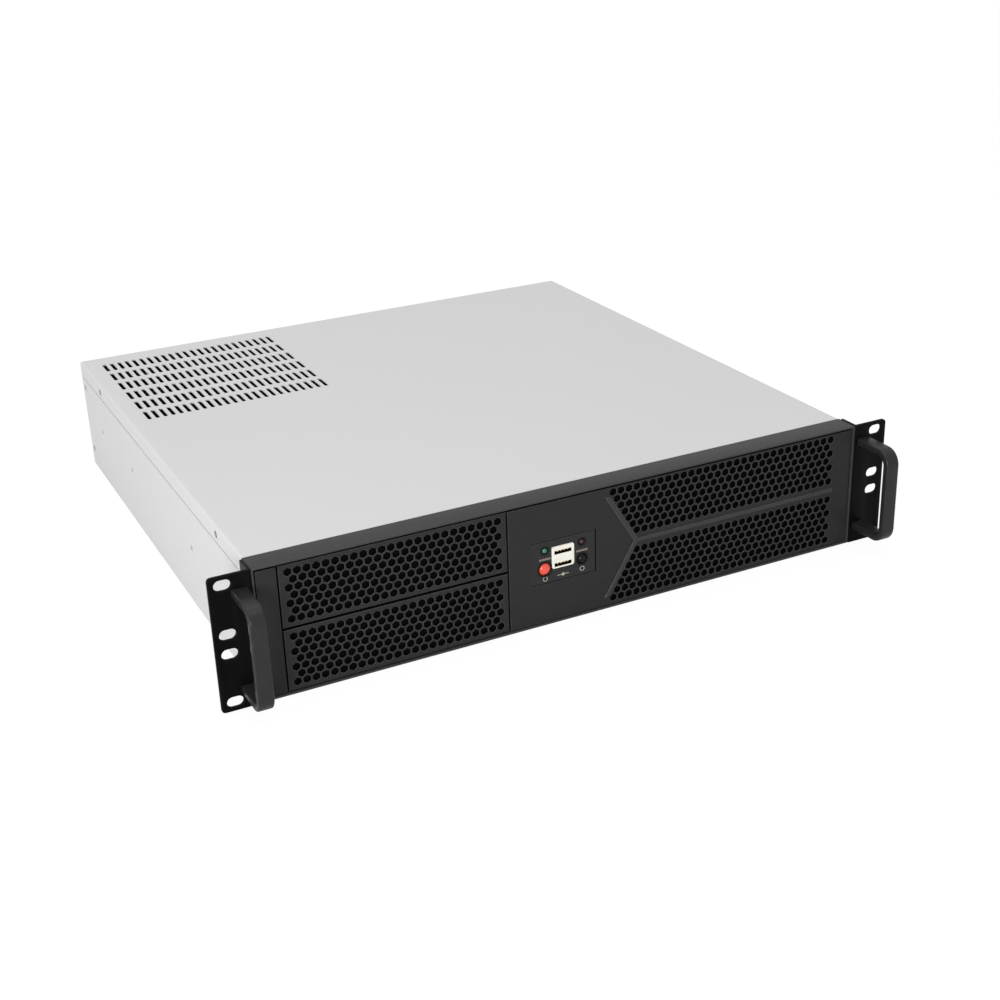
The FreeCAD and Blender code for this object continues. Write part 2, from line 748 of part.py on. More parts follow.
def fan_rotor():
    """Hub, shaft and blades of the fan."""
    y0 = front_depth + fan_start_gap
    hub_end = front_depth + fan_depth - handle_bar - fan_start_gap
    hub = drum((fan_x, y0, 0), fan_hub, fan_hub_sides, hub_end - y0)
    blades = []
    for i in range(fan_blades):
        turned = blade((y0 + hub_end) / 2)
        turned.rotate(FreeCAD.Vector(fan_x, 0, 0), FreeCAD.Vector(0, 1, 0), 360.0 / fan_blades * i)
        blades.append(turned)
    shaft = cylinder((fan_x, hub_end, 0), shaft_radius, fan_start_gap + handle_bar - sheet, (0, 1, 0))
    return hub.multiFuse(blades + [shaft])


def board_standoffs():
    """Threaded pillars for the main board, on the standard micro-ATX grid."""
    pillars = []
    radius = standoff_across_flats / math.sqrt(3)
    for x in (board_hole_x, board_hole_x - board_hole_columns):
        for y_offset in (0, board_hole_first_row, board_hole_last_row):
            y = case_depth - board_hole_rear - y_offset
            angles = [math.radians(60 * i) for i in range(6)]
            outline = [(x + radius * math.cos(a), y + radius * math.sin(a), floor_z) for a in angles]
            pillar = prism(outline, (0, 0, standoff_height))
            pillars.append(pillar.cut(cylinder((x, y, floor_z), standoff_bore, standoff_height, (0, 0, 1))))
    return pillars


def build():
    left = left_ear()
    grip = left_handle()
    middle = bay_cover_gap
    return {
        "chassis_tray": chassis_tray(),
        "rear_panel": rear_panel(),
        "top_cover": top_cover(),
        "front_panel": front_panel(),
        "front_fascia": front_fascia(),
        "upper_bay_cover": bay_cover(middle, fascia_z - fit_gap),
        "lower_bay_cover": bay_cover(-fascia_z + fit_gap, -middle),
        "dust_filters": Part.makeCompound(dust_filters()),
        "control_plate": control_plate(),
        "control_board": join([control_board()] + switches()),
        "power_button": button(power_x, power_z, power_radius),
        "reset_button": button(reset_x, reset_z, reset_radius),
        "power_lamp": lamp(power_x),
        "drive_lamp": lamp(reset_x),
        "usb_sockets": usb_sockets(),
        "left_ear": left,
        "right_ear": mirrored(left),
        "left_handle": grip,
        "right_handle": mirrored(grip),
        "card_shelf": card_shelf(),
        "card_covers": Part.makeCompound(card_covers()),
        "bay_cage": bay_cage(),
        "drive_bracket": drive_bracket(),
        "psu_bracket": psu_bracket(),
        "fan_frame": fan_frame(),
        "fan_rotor": fan_rotor(),
        "board_standoffs": Part.makeCompound(board_standoffs()),
    }


os.makedirs("parts", exist_ok=True)
for part_name, part_shape in build().items():
    save(part_name, part_shape)
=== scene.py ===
"""Finish of the two-unit rackmount case: fine perforations, rounded edges, screws, finishes and studio."""

import math

import bmesh
import bpy
from bpy.props import FloatProperty, FloatVectorProperty, IntProperty, PointerProperty
from mathutils import Matrix, Vector


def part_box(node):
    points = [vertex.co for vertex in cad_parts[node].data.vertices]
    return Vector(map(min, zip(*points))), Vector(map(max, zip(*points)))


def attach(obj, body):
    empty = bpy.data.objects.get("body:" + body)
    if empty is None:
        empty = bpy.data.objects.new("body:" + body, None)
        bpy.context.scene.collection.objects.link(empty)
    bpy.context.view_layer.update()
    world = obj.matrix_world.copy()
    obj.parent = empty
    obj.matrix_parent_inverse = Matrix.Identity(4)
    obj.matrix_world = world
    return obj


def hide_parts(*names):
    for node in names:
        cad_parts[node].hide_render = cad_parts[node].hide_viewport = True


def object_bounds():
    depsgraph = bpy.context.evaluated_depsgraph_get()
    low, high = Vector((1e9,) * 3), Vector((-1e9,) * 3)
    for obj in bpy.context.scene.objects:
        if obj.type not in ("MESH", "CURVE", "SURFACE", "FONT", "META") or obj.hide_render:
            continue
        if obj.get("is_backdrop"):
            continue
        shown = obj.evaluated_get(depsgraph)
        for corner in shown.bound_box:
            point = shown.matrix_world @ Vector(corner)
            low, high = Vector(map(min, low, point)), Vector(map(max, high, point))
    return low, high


bl_info = {
    "name": "Rack Case Finish",
    "version": (1, 0, 0),
    "blender": (4, 5, 0),
    "location": "View3D > Sidebar > Rack Case",
    "description": "Builds the fine parts, finishes and studio of a rackmount server case",
    "category": "Object",
}

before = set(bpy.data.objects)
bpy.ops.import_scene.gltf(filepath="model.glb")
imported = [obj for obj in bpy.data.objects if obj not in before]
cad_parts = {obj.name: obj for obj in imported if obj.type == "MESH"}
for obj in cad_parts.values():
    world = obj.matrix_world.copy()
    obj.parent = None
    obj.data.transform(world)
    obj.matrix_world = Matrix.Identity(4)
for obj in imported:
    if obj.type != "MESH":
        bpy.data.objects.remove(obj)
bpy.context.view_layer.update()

MM = 0.001
WELD = 0.001 * MM  # vertices closer than this are one
CASE = "case"
QUARTER = math.pi / 2
ROW_SHARE = math.sqrt(0.75)  # distance between staggered rows for each unit of pitch
SHEET_EASE = 0.3 * MM
PLASTIC_EASE = 0.12 * MM


# ---------------------------------------------------------------- settings


def length(name, description, millimetres):
    return FloatProperty(name=name, description=description, default=millimetres * MM, min=0.0,
                         subtype="DISTANCE", unit="LENGTH", precision=5)


def count(name, description, value):
    return IntProperty(name=name, description=description, default=value, min=1)


def colour(name, description, value):
    return FloatVectorProperty(name=name, description=description, default=value, size=3, min=0.0, max=1.0,
                               subtype="COLOR")


def angle(name, description, degrees):
    return FloatProperty(name=name, description=description, default=math.radians(degrees), subtype="ANGLE")


class GrilleSettings(bpy.types.PropertyGroup):
    pitch: length("Pitch", "Distance between neighbouring cells in a row", 5.9)
    flats: length("Across Flats", "Size of one cell between two parallel sides", 4.7)
    ease: length("Cell Ease", "Width of the eased edge round each cell", 0.22)
    rows: count("Rows", "Rows of cells in one field", 7)
    cover_columns: count("Cover Columns", "Cells in the long rows of a bay cover", 24)
    plate: length("Plate", "Thickness of the moulding's pierced plate", 2.4)
    cover_plate: length("Cover Plate", "Thickness of a bay cover's pierced plate", 2.2)
    edge: length("Plate Edge", "Width of the eased edge round each plate", 0.3)
    rail: length("Rail", "Thickness of the rails behind the moulding's plate", 1.6)
    seam: length("Seam", "How much smaller each bay cover is on every side", 0.45)
    gap: length("Gap", "From the bays to the post and to the middle plate", 0.6)
    top_gap: length("Top Gap", "Space between the moulding's face and the front box over it", 0.9)
    first_row: length("First Row", "Height of the first row of the grille over its middle rib", 6.9)
    right_column: length("Right Column", "X of the right-most cells of the grille", 195.6)
    margin: length("Cell Margin", "From the chevron to the limit of the cells' middles", 1.9)
    tip: length("Chevron Tip", "X of the chevron's outer corner", 39.7)
    slope: FloatProperty(name="Chevron Slope", description="Sideways run per unit of height", default=0.61)
    end: length("Chevron End", "Height of the chevron's upper end over the middle", 35.0)
    rib: length("Rib Width", "Width of the chevron band, measured across", 3.9)
    middle_rib: length("Middle Rib Width", "Height of the band across the grille's middle", 2.8)
    rib_run: length("Rib Run", "How far the middle rib runs past the last cells' middles", 3.4)
    rib_height: length("Rib Height", "How far the raised bands stand out", 0.6)
    rib_ease: length("Rib Ease", "Width of the eased edges of the raised bands", 0.4)
    stud: length("Stud Radius", "Radius of the stud at the chevron's lower end", 1.2)


class LidSettings(bpy.types.PropertyGroup):
    columns: count("Columns", "Vent slots across", 24)
    rows: count("Rows", "Vent slots from front to rear", 6)
    pitch_x: length("Pitch Across", "Distance between slots across", 5.88)
    pitch_y: length("Pitch Along", "Distance between slots along the case", 24.6)
    slot_width: length("Slot Width", "Width of one slot", 3.1)
    slot_length: length("Slot Length", "Length of one slot", 18.6)
    first_x: length("Side Margin", "From the left side to the first column's middle", 14.8)
    first_y: length("Rear Margin", "From the rear edge to the first row's middle", 26.4)
    bend: length("Bend Radius", "Outside radius of the folded edges", 1.8)
    sheet: length("Sheet", "Thickness of the lid's sheet", 0.8)
    # The dark line is painted shade: a black strip in the seam.
    seam: length("Seam", "Height of the dark line under the folded sides", 0.36)


class HandleSettings(bpy.types.PropertyGroup):
    edge: length("Edge Radius", "Rounding of the bar's edges", 1.2)
    bend: length("Bend Radius", "Outside radius of the two bends", 11.0)
    bar: length("Bar Thickness", "Thickness of the bar", 5.0)


class ControlSettings(bpy.types.PropertyGroup):
    side_gap: length("Pocket Side Gap", "From the control plate to its pocket at both sides", 0.55)
    lower_gap: length("Pocket Lower Gap", "From the control plate to its pocket below", 0.4)
    upper_gap: length("Pocket Upper Gap", "From the control plate to its pocket above", 0.8)
    depth: length("Pocket Depth", "Depth of the control plate's pocket", 1.7)
    ledge: length("Pocket Ledge", "Width of the ledge behind the control plate", 1.6)
    mark: length("Mark Line", "Line width of the printed marks", 0.45)
    sign: length("Sign Radius", "Middle radius of the printed rings", 1.5)
    bar_length: length("Bar Length", "Length of the printed bar by each button", 8.4)
    bar_height: length("Bar Height", "Height of the printed bar by each button", 1.3)
    bar_rise: length("Bar Place", "Height of the printed bars over the middle", 2.2)
    ring: length("Lamp Ring", "Outside radius of the ring round each lamp", 3.1)
    collar: length("Button Ring", "Width of the dark ring round each button", 0.95)
    cap_step: length("Cap Step", "How much smaller a cap is than the collar behind it", 0.5)
    stem: length("Stem Radius", "Radius of the stem behind each cap", 1.0)
    dome: length("Button Dome", "How much each button's front is crowned", 2.1)
    port_width: length("Port Width", "Width of a socket's opening", 12.4)
    port_height: length("Port Height", "Height of a socket's opening", 4.7)
    port_pitch: length("Port Pitch", "From one opening's middle to the other's", 8.6)
    slit: length("Port Slit", "Height of the slit under a socket's tongue", 2.5)
    contact_pitch: length("Contact Pitch", "Distance between the contacts of a socket", 2.4)
    contact_width: length("Contact Width", "Width of one contact", 1.0)


class ScrewSettings(bpy.types.PropertyGroup):
    head: length("Head Radius", "Radius of a flush screw head", 2.75)
    rise: length("Head Rise", "How far a flush head stands out", 0.25)
    lid_rise: length("Lid Head Rise", "How far the heads and rivets in the sides stand out", 0.15)
    rivet: length("Rivet Radius", "Radius of a rivet head", 2.475)
    pan: length("Pan Head Radius", "Radius of a pan head", 2.8)
    pan_rise: length("Pan Head Rise", "Height of a pan head", 1.7)
    lid_front: length("Front Lid Screw", "From the lid's front edge to its first side screw", 51.3)
    lid_rear: length("Rear Lid Screw", "From the lid's rear edge to its last side screw", 64.8)
    rivet_rear: length("Rivet Margin", "From the lid's rear edge to the rivets", 7.7)
    handle_end: length("Handle Screw Margin", "From a handle's end to its screw", 2.5)
    ear_rear: length("Ear Screw Margin", "From an ear's rear edge to its screws", 6.5)
    ear_pitch: length("Ear Screw Pitch", "Distance between the screws of an ear", 32.0)
    card_side: length("Card Screw Margin", "From the side of the card covers to the first screw", 9.2)
    card_rear: length("Card Screw Depth", "From the rear edge of the card covers to their screws", 6.0)
    fan_corner: length("Fan Screw Margin", "From the fan's edges to its screws", 4.25)


class ColourSettings(bpy.types.PropertyGroup):
    body: colour("Body", "Light grey powder coat", (0.65, 0.65, 0.65))
    lip: colour("Front Box", "Black powder coat of the front box", (0.037, 0.037, 0.038))
    # The front box's black powder coat set ten times darker: painted shade for the shade the ears sit in.
    steel: colour("Ears", "Black powder coat of the ears", (0.0035, 0.0035, 0.0037))
    moulding: colour("Moulding", "Black plastic of the front", (0.024, 0.024, 0.0245))
    # The same black plastic as the moulding, set lighter as a painted highlight on the raised bands.
    rib: colour("Raised Bands", "Black plastic of the chevron and its middle rib", (0.036, 0.036, 0.0365))
    # Near-black painted shade for the cell walls, walls seen in the narrow gaps, strips behind the gaps, the
    # pocket and the socket slits.
    cell: colour("Cell Walls", "Black of the cell walls and the narrow gaps", (0.003, 0.003, 0.003))
    handle: colour("Handle", "Satin black of the handles", (0.020, 0.020, 0.0205))
    plate: colour("Control Plate", "Black of the control plate", (0.028, 0.0275, 0.0275))
    mark: colour("Marks", "Printed rings and signs", (0.42, 0.38, 0.32))
    faded: colour("Bars", "Printed bars", (0.20, 0.17, 0.15))
    power: colour("Power Button", "Red cap", (0.80, 0.072, 0.034))
    dark: colour("Dark Plastic", "Black of the rings and the fan", (0.004, 0.004, 0.004))
    gloss: colour("Reset Button", "Glossy black cap", (0.003, 0.003, 0.003))
    green: colour("Power Lamp", "Green lens", (0.030, 0.20, 0.12))
    red: colour("Drive Lamp", "Dark red lens", (0.045, 0.004, 0.004))
    socket: colour("Sockets", "Cream plastic of the sockets", (0.86, 0.84, 0.76))
    contact: colour("Contacts", "Gold of the socket contacts", (0.80, 0.55, 0.20))
    brass: colour("Standoffs", "Brass of the standoffs", (0.72, 0.53, 0.22))
    zinc: colour("Brackets", "Zinc of the cage and the brackets", (0.45, 0.46, 0.47))
    board: colour("Control Board", "Green of the control board", (0.02, 0.12, 0.05))
    nickel: colour("Screws", "Nickel of the screws and rivets", (0.50, 0.50, 0.50))
    # Also used for the painted shade strip in the lid's seam.
    foam_and_seam_shade: colour("Filters", "Black foam of the dust filters", (0.003, 0.003, 0.003))


class StudioSettings(bpy.types.PropertyGroup):
    place: FloatVectorProperty(name="Camera Place", description="Where the camera stands", size=3,
                               subtype="TRANSLATION", unit="LENGTH", default=(-0.430, -0.767, 0.429))
    yaw: angle("Yaw", "Camera turned from +Y towards +X", 26.0)
    pitch: angle("Pitch", "Camera tilted down", 23.9)
    roll: angle("Roll", "Camera rolled", -2.0)
    lens: FloatProperty(name="Lens", description="Focal length on a 36 mm frame", default=55.24,
                        unit="CAMERA")
    ambient: FloatProperty(name="Ambient", description="Strength of the even studio light", default=0.70)
    key: FloatProperty(name="Key", description="Power that the lamps are worked out from", default=7.0,
                       unit="POWER")


SETTINGS = {
    "rack_grille": GrilleSettings,
    "rack_lid": LidSettings,
    "rack_handle": HandleSettings,
    "rack_control": ControlSettings,
    "rack_screw": ScrewSettings,
    "rack_colour": ColourSettings,
    "rack_studio": StudioSettings,
}


# ---------------------------------------------------------------- meshes


def mesh_from(name, bm):
    """Mesh from a bmesh, which is freed."""
    mesh = bpy.data.meshes.new(name)
    bm.to_mesh(mesh)
    bm.free()
    return mesh


def placed(name, data):
    """New object in the scene."""
    obj = bpy.data.objects.new(name, data)
    bpy.context.scene.collection.objects.link(obj)
    return obj


def evaluated(obj):
    """Plain mesh of an object with its modifiers applied; the object is removed."""
    bpy.context.view_layer.update()
    shown = obj.evaluated_get(bpy.context.evaluated_depsgraph_get())
    mesh = bpy.data.meshes.new_from_object(shown)
    bpy.data.objects.remove(obj)
    return mesh


def outward(bm):
    """Merge doubles and turn all faces outwards."""
    bmesh.ops.remove_doubles(bm, verts=bm.verts, dist=WELD)
    bmesh.ops.recalc_face_normals(bm, faces=bm.faces)


def piece(name, bm, finish, stands_for=(), body=CASE, smooth=None):
    """Turn a bmesh into a finished piece that rides on a body."""
    outward(bm)
    settle(name, mesh_from(name, bm), finish, stands_for, body, smooth)


def settle(name, mesh, finish, stands_for=(), body=CASE, smooth=None, painted=False):
    """Link a mesh as a piece, give it its material unless painted, parent it to its body and hide the CAD
    nodes it stands for.
    """
    obj = placed(name, mesh)
    if smooth is not None:
        mesh.shade_smooth()
        mesh.set_sharp_from_angle(angle=math.radians(smooth))
    if not painted:
        mesh.materials.clear()
        mesh.materials.append(BUILT[finish])
    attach(obj, body)
    if stands_for:
        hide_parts(*stands_for)


def loop(bm, points):
    return [bm.verts.new(point) for point in points]


def ring_faces(bm, first, second):
    """Quads between two loops with the same number of points."""
    for i in range(len(first)):
        j = (i + 1) % len(first)
        bm.faces.new((first[i], first[j], second[j], second[i]))


def grown(area, by):
    """Rectangle (x0, x1, z0, z1) that is larger on every side."""
    return (area[0] - by, area[1] + by, area[2] - by, area[3] + by)


def rect_ring(bm, inner, y_inner, outer, y_outer):
    """Band between two rectangles given as (x0, x1, z0, z1)."""
    loops = []
    for (x0, x1, z0, z1), y in ((inner, y_inner), (outer, y_outer)):
        loops.append(loop(bm, [(x0, y, z0), (x1, y, z0), (x1, y, z1), (x0, y, z1)]))
    ring_faces(bm, *loops)


def block(bm, x, y, z, ease=0.0):
    """Box from its limits, with all edges eased."""
    verts = bmesh.ops.create_cube(bm, size=1.0)["verts"]
    low = Vector((x[0], y[0], z[0]))
    high = Vector((x[1], y[1], z[1]))
    bmesh.ops.scale(bm, vec=high - low, verts=verts)
    bmesh.ops.translate(bm, vec=(high + low) / 2, verts=verts)
    if ease:
        edges = list({edge for vert in verts for edge in vert.link_edges})
        bmesh.ops.bevel(bm, geom=edges, offset=ease, segments=2, profile=0.5, affect="EDGES")


def turned(bm, centre, profile, steps=48):
    """Solid of revolution about +Y through centre; profile lists (radius, y), a pole where radius is 0."""
    rows = []
    for radius, y in profile:
        if not radius:
            rows.append(loop(bm, [(centre[0], y, centre[2])]))
            continue
        turns = [2 * math.pi * i / steps for i in range(steps)]
        rows.append(loop(bm, [(centre[0] + radius * math.cos(turn), y, centre[2] + radius * math.sin(turn))
                              for turn in turns]))
    for first, second in zip(rows, rows[1:]):
        if len(first) > 1 and len(second) > 1:
            ring_faces(bm, first, second)
            continue
        pole, ring = sorted((first, second), key=len)
        for i in range(len(ring)):
            bm.faces.new((pole[0], ring[i], ring[(i + 1) % steps]))


def eased_copy(node, finish, width):
    """Copy of a CAD node with its sharp edges rounded."""
    nearly_flat = math.radians(1.0)
    sharp = math.radians(35.0)
    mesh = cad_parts[node].data.copy()
    bm = bmesh.new()
    bm.from_mesh(mesh)
    bmesh.ops.remove_doubles(bm, verts=bm.verts, dist=2 * WELD)
    bmesh.ops.dissolve_limit(bm, angle_limit=nearly_flat, verts=bm.verts, edges=bm.edges)
    bm.to_mesh(mesh)
    bm.free()
    obj = placed(node + "_shell", mesh)
    bevel = obj.modifiers.new("Ease", "BEVEL")
    bevel.width = width
    bevel.segments = 2
    bevel.limit_method = "ANGLE"
    bevel.angle_limit = sharp
    settle(node + "_shell", evaluated(obj), finish, (node,), smooth=30)


# ---------------------------------------------------------------- node trees


class NodeMaker:
    """Adds nodes to a tree, and feeds and links them in one call."""

    def __init__(self, tree):
        self.tree = tree

    def feed(self, socket, value):
        """Link an output or each output of a list, or set a plain value; None leaves the socket as it is."""
        for part in value if isinstance(value, list) else [value]:
            if isinstance(part, bpy.types.NodeSocket):
                self.tree.links.new(part, socket)
            elif part is not None:
                socket.default_value = part

    def put(self, kind, *values, named=None, **options):
        """Add a node, feed its inputs in order or by name, and return its first output in use."""
        node = self.tree.nodes.new(kind)
        for key, value in options.items():
            setattr(node, key, value)
        for socket, value in zip([socket for socket in node.inputs if socket.enabled], values):
            self.feed(socket, value)
        for label, value in (named or {}).items():
            self.feed(node.inputs[label], value)
        return next(socket for socket in node.outputs if socket.enabled)

    def source(self, kind, output):
        """One output of a new node that takes nothing in."""
        return self.tree.nodes.new(kind).outputs[output]

    def calc(self, operation, *values):
        return self.put("ShaderNodeMath", *values, operation=operation)

    def plus(self, first, second):
        return self.calc("ADD", first, second)

    def minus(self, first, second):
        return self.calc("SUBTRACT", first, second)

    def times(self, first, second):
        return self.calc("MULTIPLY", first, second)

    def noise(self, scale, detail=2.0):
        """Noise over the object's own coordinates."""
        place = self.source("ShaderNodeTexCoord", "Object")
        return self.put("ShaderNodeTexNoise", named={"Vector": place, "Scale": scale, "Detail": detail})

    def scaled(self, colour, gain):
        return self.put("ShaderNodeVectorMath", colour, named={"Scale": gain}, operation="SCALE")


class GroupMaker(NodeMaker):
    """A node group with named inputs, listed by kind, and named outputs."""

    def __init__(self, name, kind, inputs, outputs):
        super().__init__(bpy.data.node_groups.new(name, kind))
        for way, listed in (("INPUT", inputs), ("OUTPUT", outputs)):
            for socket_kind, labels in listed.items():
                for label in labels:
                    self.tree.interface.new_socket(label, in_out=way, socket_type="NodeSocket" + socket_kind)
        self.given = self.tree.nodes.new("NodeGroupInput").outputs
        self.result = self.tree.nodes.new("NodeGroupOutput").inputs


class TreeMaker(GroupMaker):
    """A geometry tree that takes a mesh in and gives a mesh out."""

    def __init__(self, name, inputs):
        shape = {"Geometry": ("Geometry",)}
        super().__init__(name, "GeometryNodeTree", {**shape, **inputs}, shape)

    def geo(self, kind, *values, **options):
        return self.put("GeometryNode" + kind, *values, **options)

    def vector(self, x=0.0, y=0.0, z=0.0):
        return self.put("ShaderNodeCombineXYZ", x, y, z)

    def moved(self, geometry, x=0.0, y=0.0, z=0.0):
        return self.geo("Transform", geometry, self.vector(x, y, z))

    def joined(self, *parts):
        return self.geo("JoinGeometry", list(parts))

    def outline(self, x0, x1, y0, y1):
        """Rectangle curve from its limits."""
        corners = {}
        for i, (x, y) in enumerate(((x0, y0), (x1, y0), (x1, y1), (x0, y1))):
            corners["Point %d" % (i + 1)] = self.vector(x, y)
        return self.geo("CurvePrimitiveQuadrilateral", named=corners, mode="POINTS")

    def paint(self, geometry, label="Material"):
        return self.geo("SetMaterial", geometry, None, self.given[label])

    def finish(self, geometry):
        """Realize what repeats and end the tree."""
        real = self.geo("RealizeInstances", geometry)
        self.feed(self.result[0], self.geo("MergeByDistance", real, None, 2 * WELD))
        return self.tree


def run_tree(name, bm, tree, values, finish, stands_for=(), smooth=None):
    """Apply a geometry tree to a mesh, with inputs set by identifier, and settle the plain result."""
    mesh = mesh_from(name + "_base", bm)
    # The second material slot is the painted shade black.
    for label in (finish, "cell"):
        mesh.materials.append(BUILT[label])
    carrier = placed(name + "_base", mesh)
    modifier = carrier.modifiers.new("Build", "NODES")
    modifier.node_group = tree
    identifiers = {item.name: item.identifier for item in tree.interface.items_tree if item.in_out == "INPUT"}
    for label, value in {"Material": BUILT[finish], **values}.items():
        modifier[identifiers[label]] = value
    result = evaluated(carrier)
    clean = bmesh.new()
    clean.from_mesh(result)
    outward(clean)
    clean.to_mesh(result)
    clean.free()
    settle(name, result, finish, stands_for, smooth=smooth, painted=True)


def honeycomb_tree():
    """Plate with staggered hexagonal holes, drawn flat in XY and stood up in XZ at the end.

    The object's own mesh is the rim of the plate, painted already. The tree adds the pierced front and back
    and the cell walls, which are painted near-black as painted shade.
    """
    maker = TreeMaker("Honeycomb Plate", {
        "Float": ("Low X", "High X", "Low Z", "High Z", "Front Y", "Thickness", "Edge", "Right", "Middle",
                  "Left", "Lean", "Pitch", "Flats", "Ease", "Ledge"),
        "Int": ("Columns", "Rows"), "Bool": ("Mirror", "Pocket"), "Vector": ("Pocket Low", "Pocket High"),
        "Material": ("Material", "Wall Material"),
    })
    given, geo, calc = maker.given, maker.geo, maker.calc
    plus, minus, times = maker.plus, maker.minus, maker.times
    pitch, ease, thickness = given["Pitch"], given["Ease"], given["Thickness"]
    columns, rows, middle = given["Columns"], given["Rows"], given["Middle"]
    row_pitch = times(pitch, ROW_SHARE)
    width = times(minus(columns, 1.0), pitch)
    height = times(minus(rows, 1.0), row_pitch)
    field = maker.moved(geo("MeshGrid", width, height, columns, rows),
                        minus(given["Right"], calc("DIVIDE", width, 2.0)), middle)
    place_x = maker.put("ShaderNodeSeparateXYZ", geo("InputPosition"))
    place_y = place_x.node.outputs[1]
    low_row = minus(middle, calc("DIVIDE", height, 2.0))
    row = calc("ROUND", calc("DIVIDE", minus(place_y, low_row), row_pitch))
    stagger = times(calc("FLOORED_MODULO", row, 2.0), times(pitch, -0.5))
    staggered = geo("SetPosition", field, None, None, maker.vector(stagger))
    limit = minus(given["Left"], times(calc("ABSOLUTE", place_y), given["Lean"]))
    outside = maker.put("FunctionNodeCompare", place_x, limit, data_type="FLOAT", operation="LESS_THAN")
    kept = geo("DeleteGeometry", staggered, outside, domain="POINT")
    flipped = geo("Transform", kept, None, None, (1.0, -1.0, 1.0))
    chosen = geo("Switch", given["Mirror"], kept, maker.joined(kept, flipped), input_type="GEOMETRY")
    points = geo("MeshToPoints", chosen)

    radius = calc("DIVIDE", given["Flats"], math.sqrt(3.0))
    wide = plus(radius, ease)
    turn = (0.0, 0.0, math.radians(30.0))

    def pierced(corner_radius, inset, pocket_inset):
        """Rectangle with the pocket and the cells cut out."""
        rim = maker.outline(plus(given["Low X"], inset), minus(given["High X"], inset),
                            plus(given["Low Z"], inset), minus(given["High Z"], inset))
        low = maker.put("ShaderNodeSeparateXYZ", given["Pocket Low"]).node.outputs
        high = maker.put("ShaderNodeSeparateXYZ", given["Pocket High"]).node.outputs
        pocket = maker.outline(plus(low[0], pocket_inset), minus(high[0], pocket_inset),
                               plus(low[2], pocket_inset), minus(high[2], pocket_inset))
        pocket = geo("Switch", given["Pocket"], None, pocket, input_type="GEOMETRY")
        hexagon = geo("CurvePrimitiveCircle", 6, corner_radius)
        cells = geo("InstanceOnPoints", points, None, hexagon, None, None, turn)
        return geo("FillCurve", geo("RealizeInstances", maker.joined(rim, pocket, cells)))

    front = pierced(wide, given["Edge"], 0.0)
    back = maker.moved(geo("FlipFaces", pierced(radius, 0.0, given["Ledge"])), z=times(thickness, -1.0))
    eased = maker.moved(geo("MeshCone", 6, 1, wide, radius, ease, fill_type="NONE"), z=times(ease, -1.0))
    wall = maker.moved(geo("MeshCylinder", 6, 1, radius, minus(thickness, ease), fill_type="NONE"),
                       z=times(plus(thickness, ease), -0.5))
    # The cell walls get the Wall Material, a near-black that is painted shade inside the cells.
    tube = geo("FlipFaces", maker.joined(maker.paint(eased), maker.paint(wall, "Wall Material")))
    tubes = geo("InstanceOnPoints", points, None, tube, None, None, turn)
    flat = maker.joined(maker.paint(maker.joined(front, back)), tubes)
    stood = geo("Transform", flat, maker.vector(y=given["Front Y"]), (QUARTER, 0.0, 0.0))
    return maker.finish(maker.joined(given["Geometry"], stood))


def vent_tree():
    """Flat lid pierced by rows of round-ended slots; the object's own mesh is the folded rim."""
    nearly_half = 0.499
    maker = TreeMaker("Vented Lid", {
        "Float": ("Low X", "High X", "Low Y", "High Y", "Top Z", "Thickness", "First X", "First Y", "Pitch X",
                  "Pitch Y", "Slot Width", "Slot Length"),
        "Int": ("Columns", "Rows"), "Material": ("Material",),
    })
    given, geo, times = maker.given, maker.geo, maker.times
    width = times(maker.minus(given["Columns"], 1.0), given["Pitch X"])
    depth = times(maker.minus(given["Rows"], 1.0), given["Pitch Y"])
    grid = geo("MeshGrid", width, depth, given["Columns"], given["Rows"])
    field = maker.moved(grid, maker.plus(given["First X"], maker.calc("DIVIDE", width, 2.0)),
                        maker.minus(given["First Y"], maker.calc("DIVIDE", depth, 2.0)))
    slot = geo("CurvePrimitiveQuadrilateral", given["Slot Width"], given["Slot Length"], mode="RECTANGLE")
    slot = geo("FilletCurve", slot, 5, times(given["Slot Width"], nearly_half), mode="POLY")
    slots = geo("RealizeInstances", geo("InstanceOnPoints", geo("MeshToPoints", field), None, slot))
    rim = maker.outline(given["Low X"], given["High X"], given["Low Y"], given["High Y"])
    sheet = geo("FillCurve", maker.joined(rim, slots))
    down = maker.vector(z=times(given["Thickness"], -1.0))
    under = geo("Transform", geo("FlipFaces", sheet), down)
    walls = geo("ExtrudeMesh", geo("CurveToMesh", slots), None, down, 1.0, mode="EDGES")
    raised = maker.moved(maker.joined(sheet, under, walls), z=given["Top Z"])
    return maker.finish(maker.paint(maker.joined(given["Geometry"], raised)))


def screw_tree():
    """A cross-recessed head on every point of the mesh, turned to one side."""
    maker = TreeMaker("Screw Heads", {
        "Float": ("Radius", "Rise", "Depth"), "Rotation": ("Turn",), "Material": ("Material",),
    })
    given, geo, times = maker.given, maker.geo, maker.times
    sides = 28
    crown_share = 0.82
    arm_share = 1.05
    slot_share = 0.24
    radius = given["Radius"]
    half = times(given["Rise"], 0.5)
    wall = maker.moved(geo("MeshCylinder", sides, 1, 1, radius, half, fill_type="NGON"), z=times(half, 0.5))
    dome = geo("MeshCone", sides, 1, 1, times(radius, crown_share), radius, half, fill_type="NGON")
    head = geo("MeshBoolean", [wall, maker.moved(dome, z=half)], operation="UNION", solver="EXACT")
    arm = times(radius, arm_share)
    slim = times(radius, slot_share)
    deep = times(given["Depth"], 2.0)
    across = maker.moved(geo("MeshCube", maker.vector(arm, slim, deep)), z=given["Rise"])
    along = maker.moved(geo("MeshCube", maker.vector(slim, arm, deep)), z=given["Rise"])
    cut = geo("MeshBoolean", head, [across, along], operation="DIFFERENCE", solver="EXACT")
    points = geo("MeshToPoints", given["Geometry"])
    heads = geo("InstanceOnPoints", points, None, cut, None, None, given["Turn"])
    return maker.finish(maker.paint(heads))
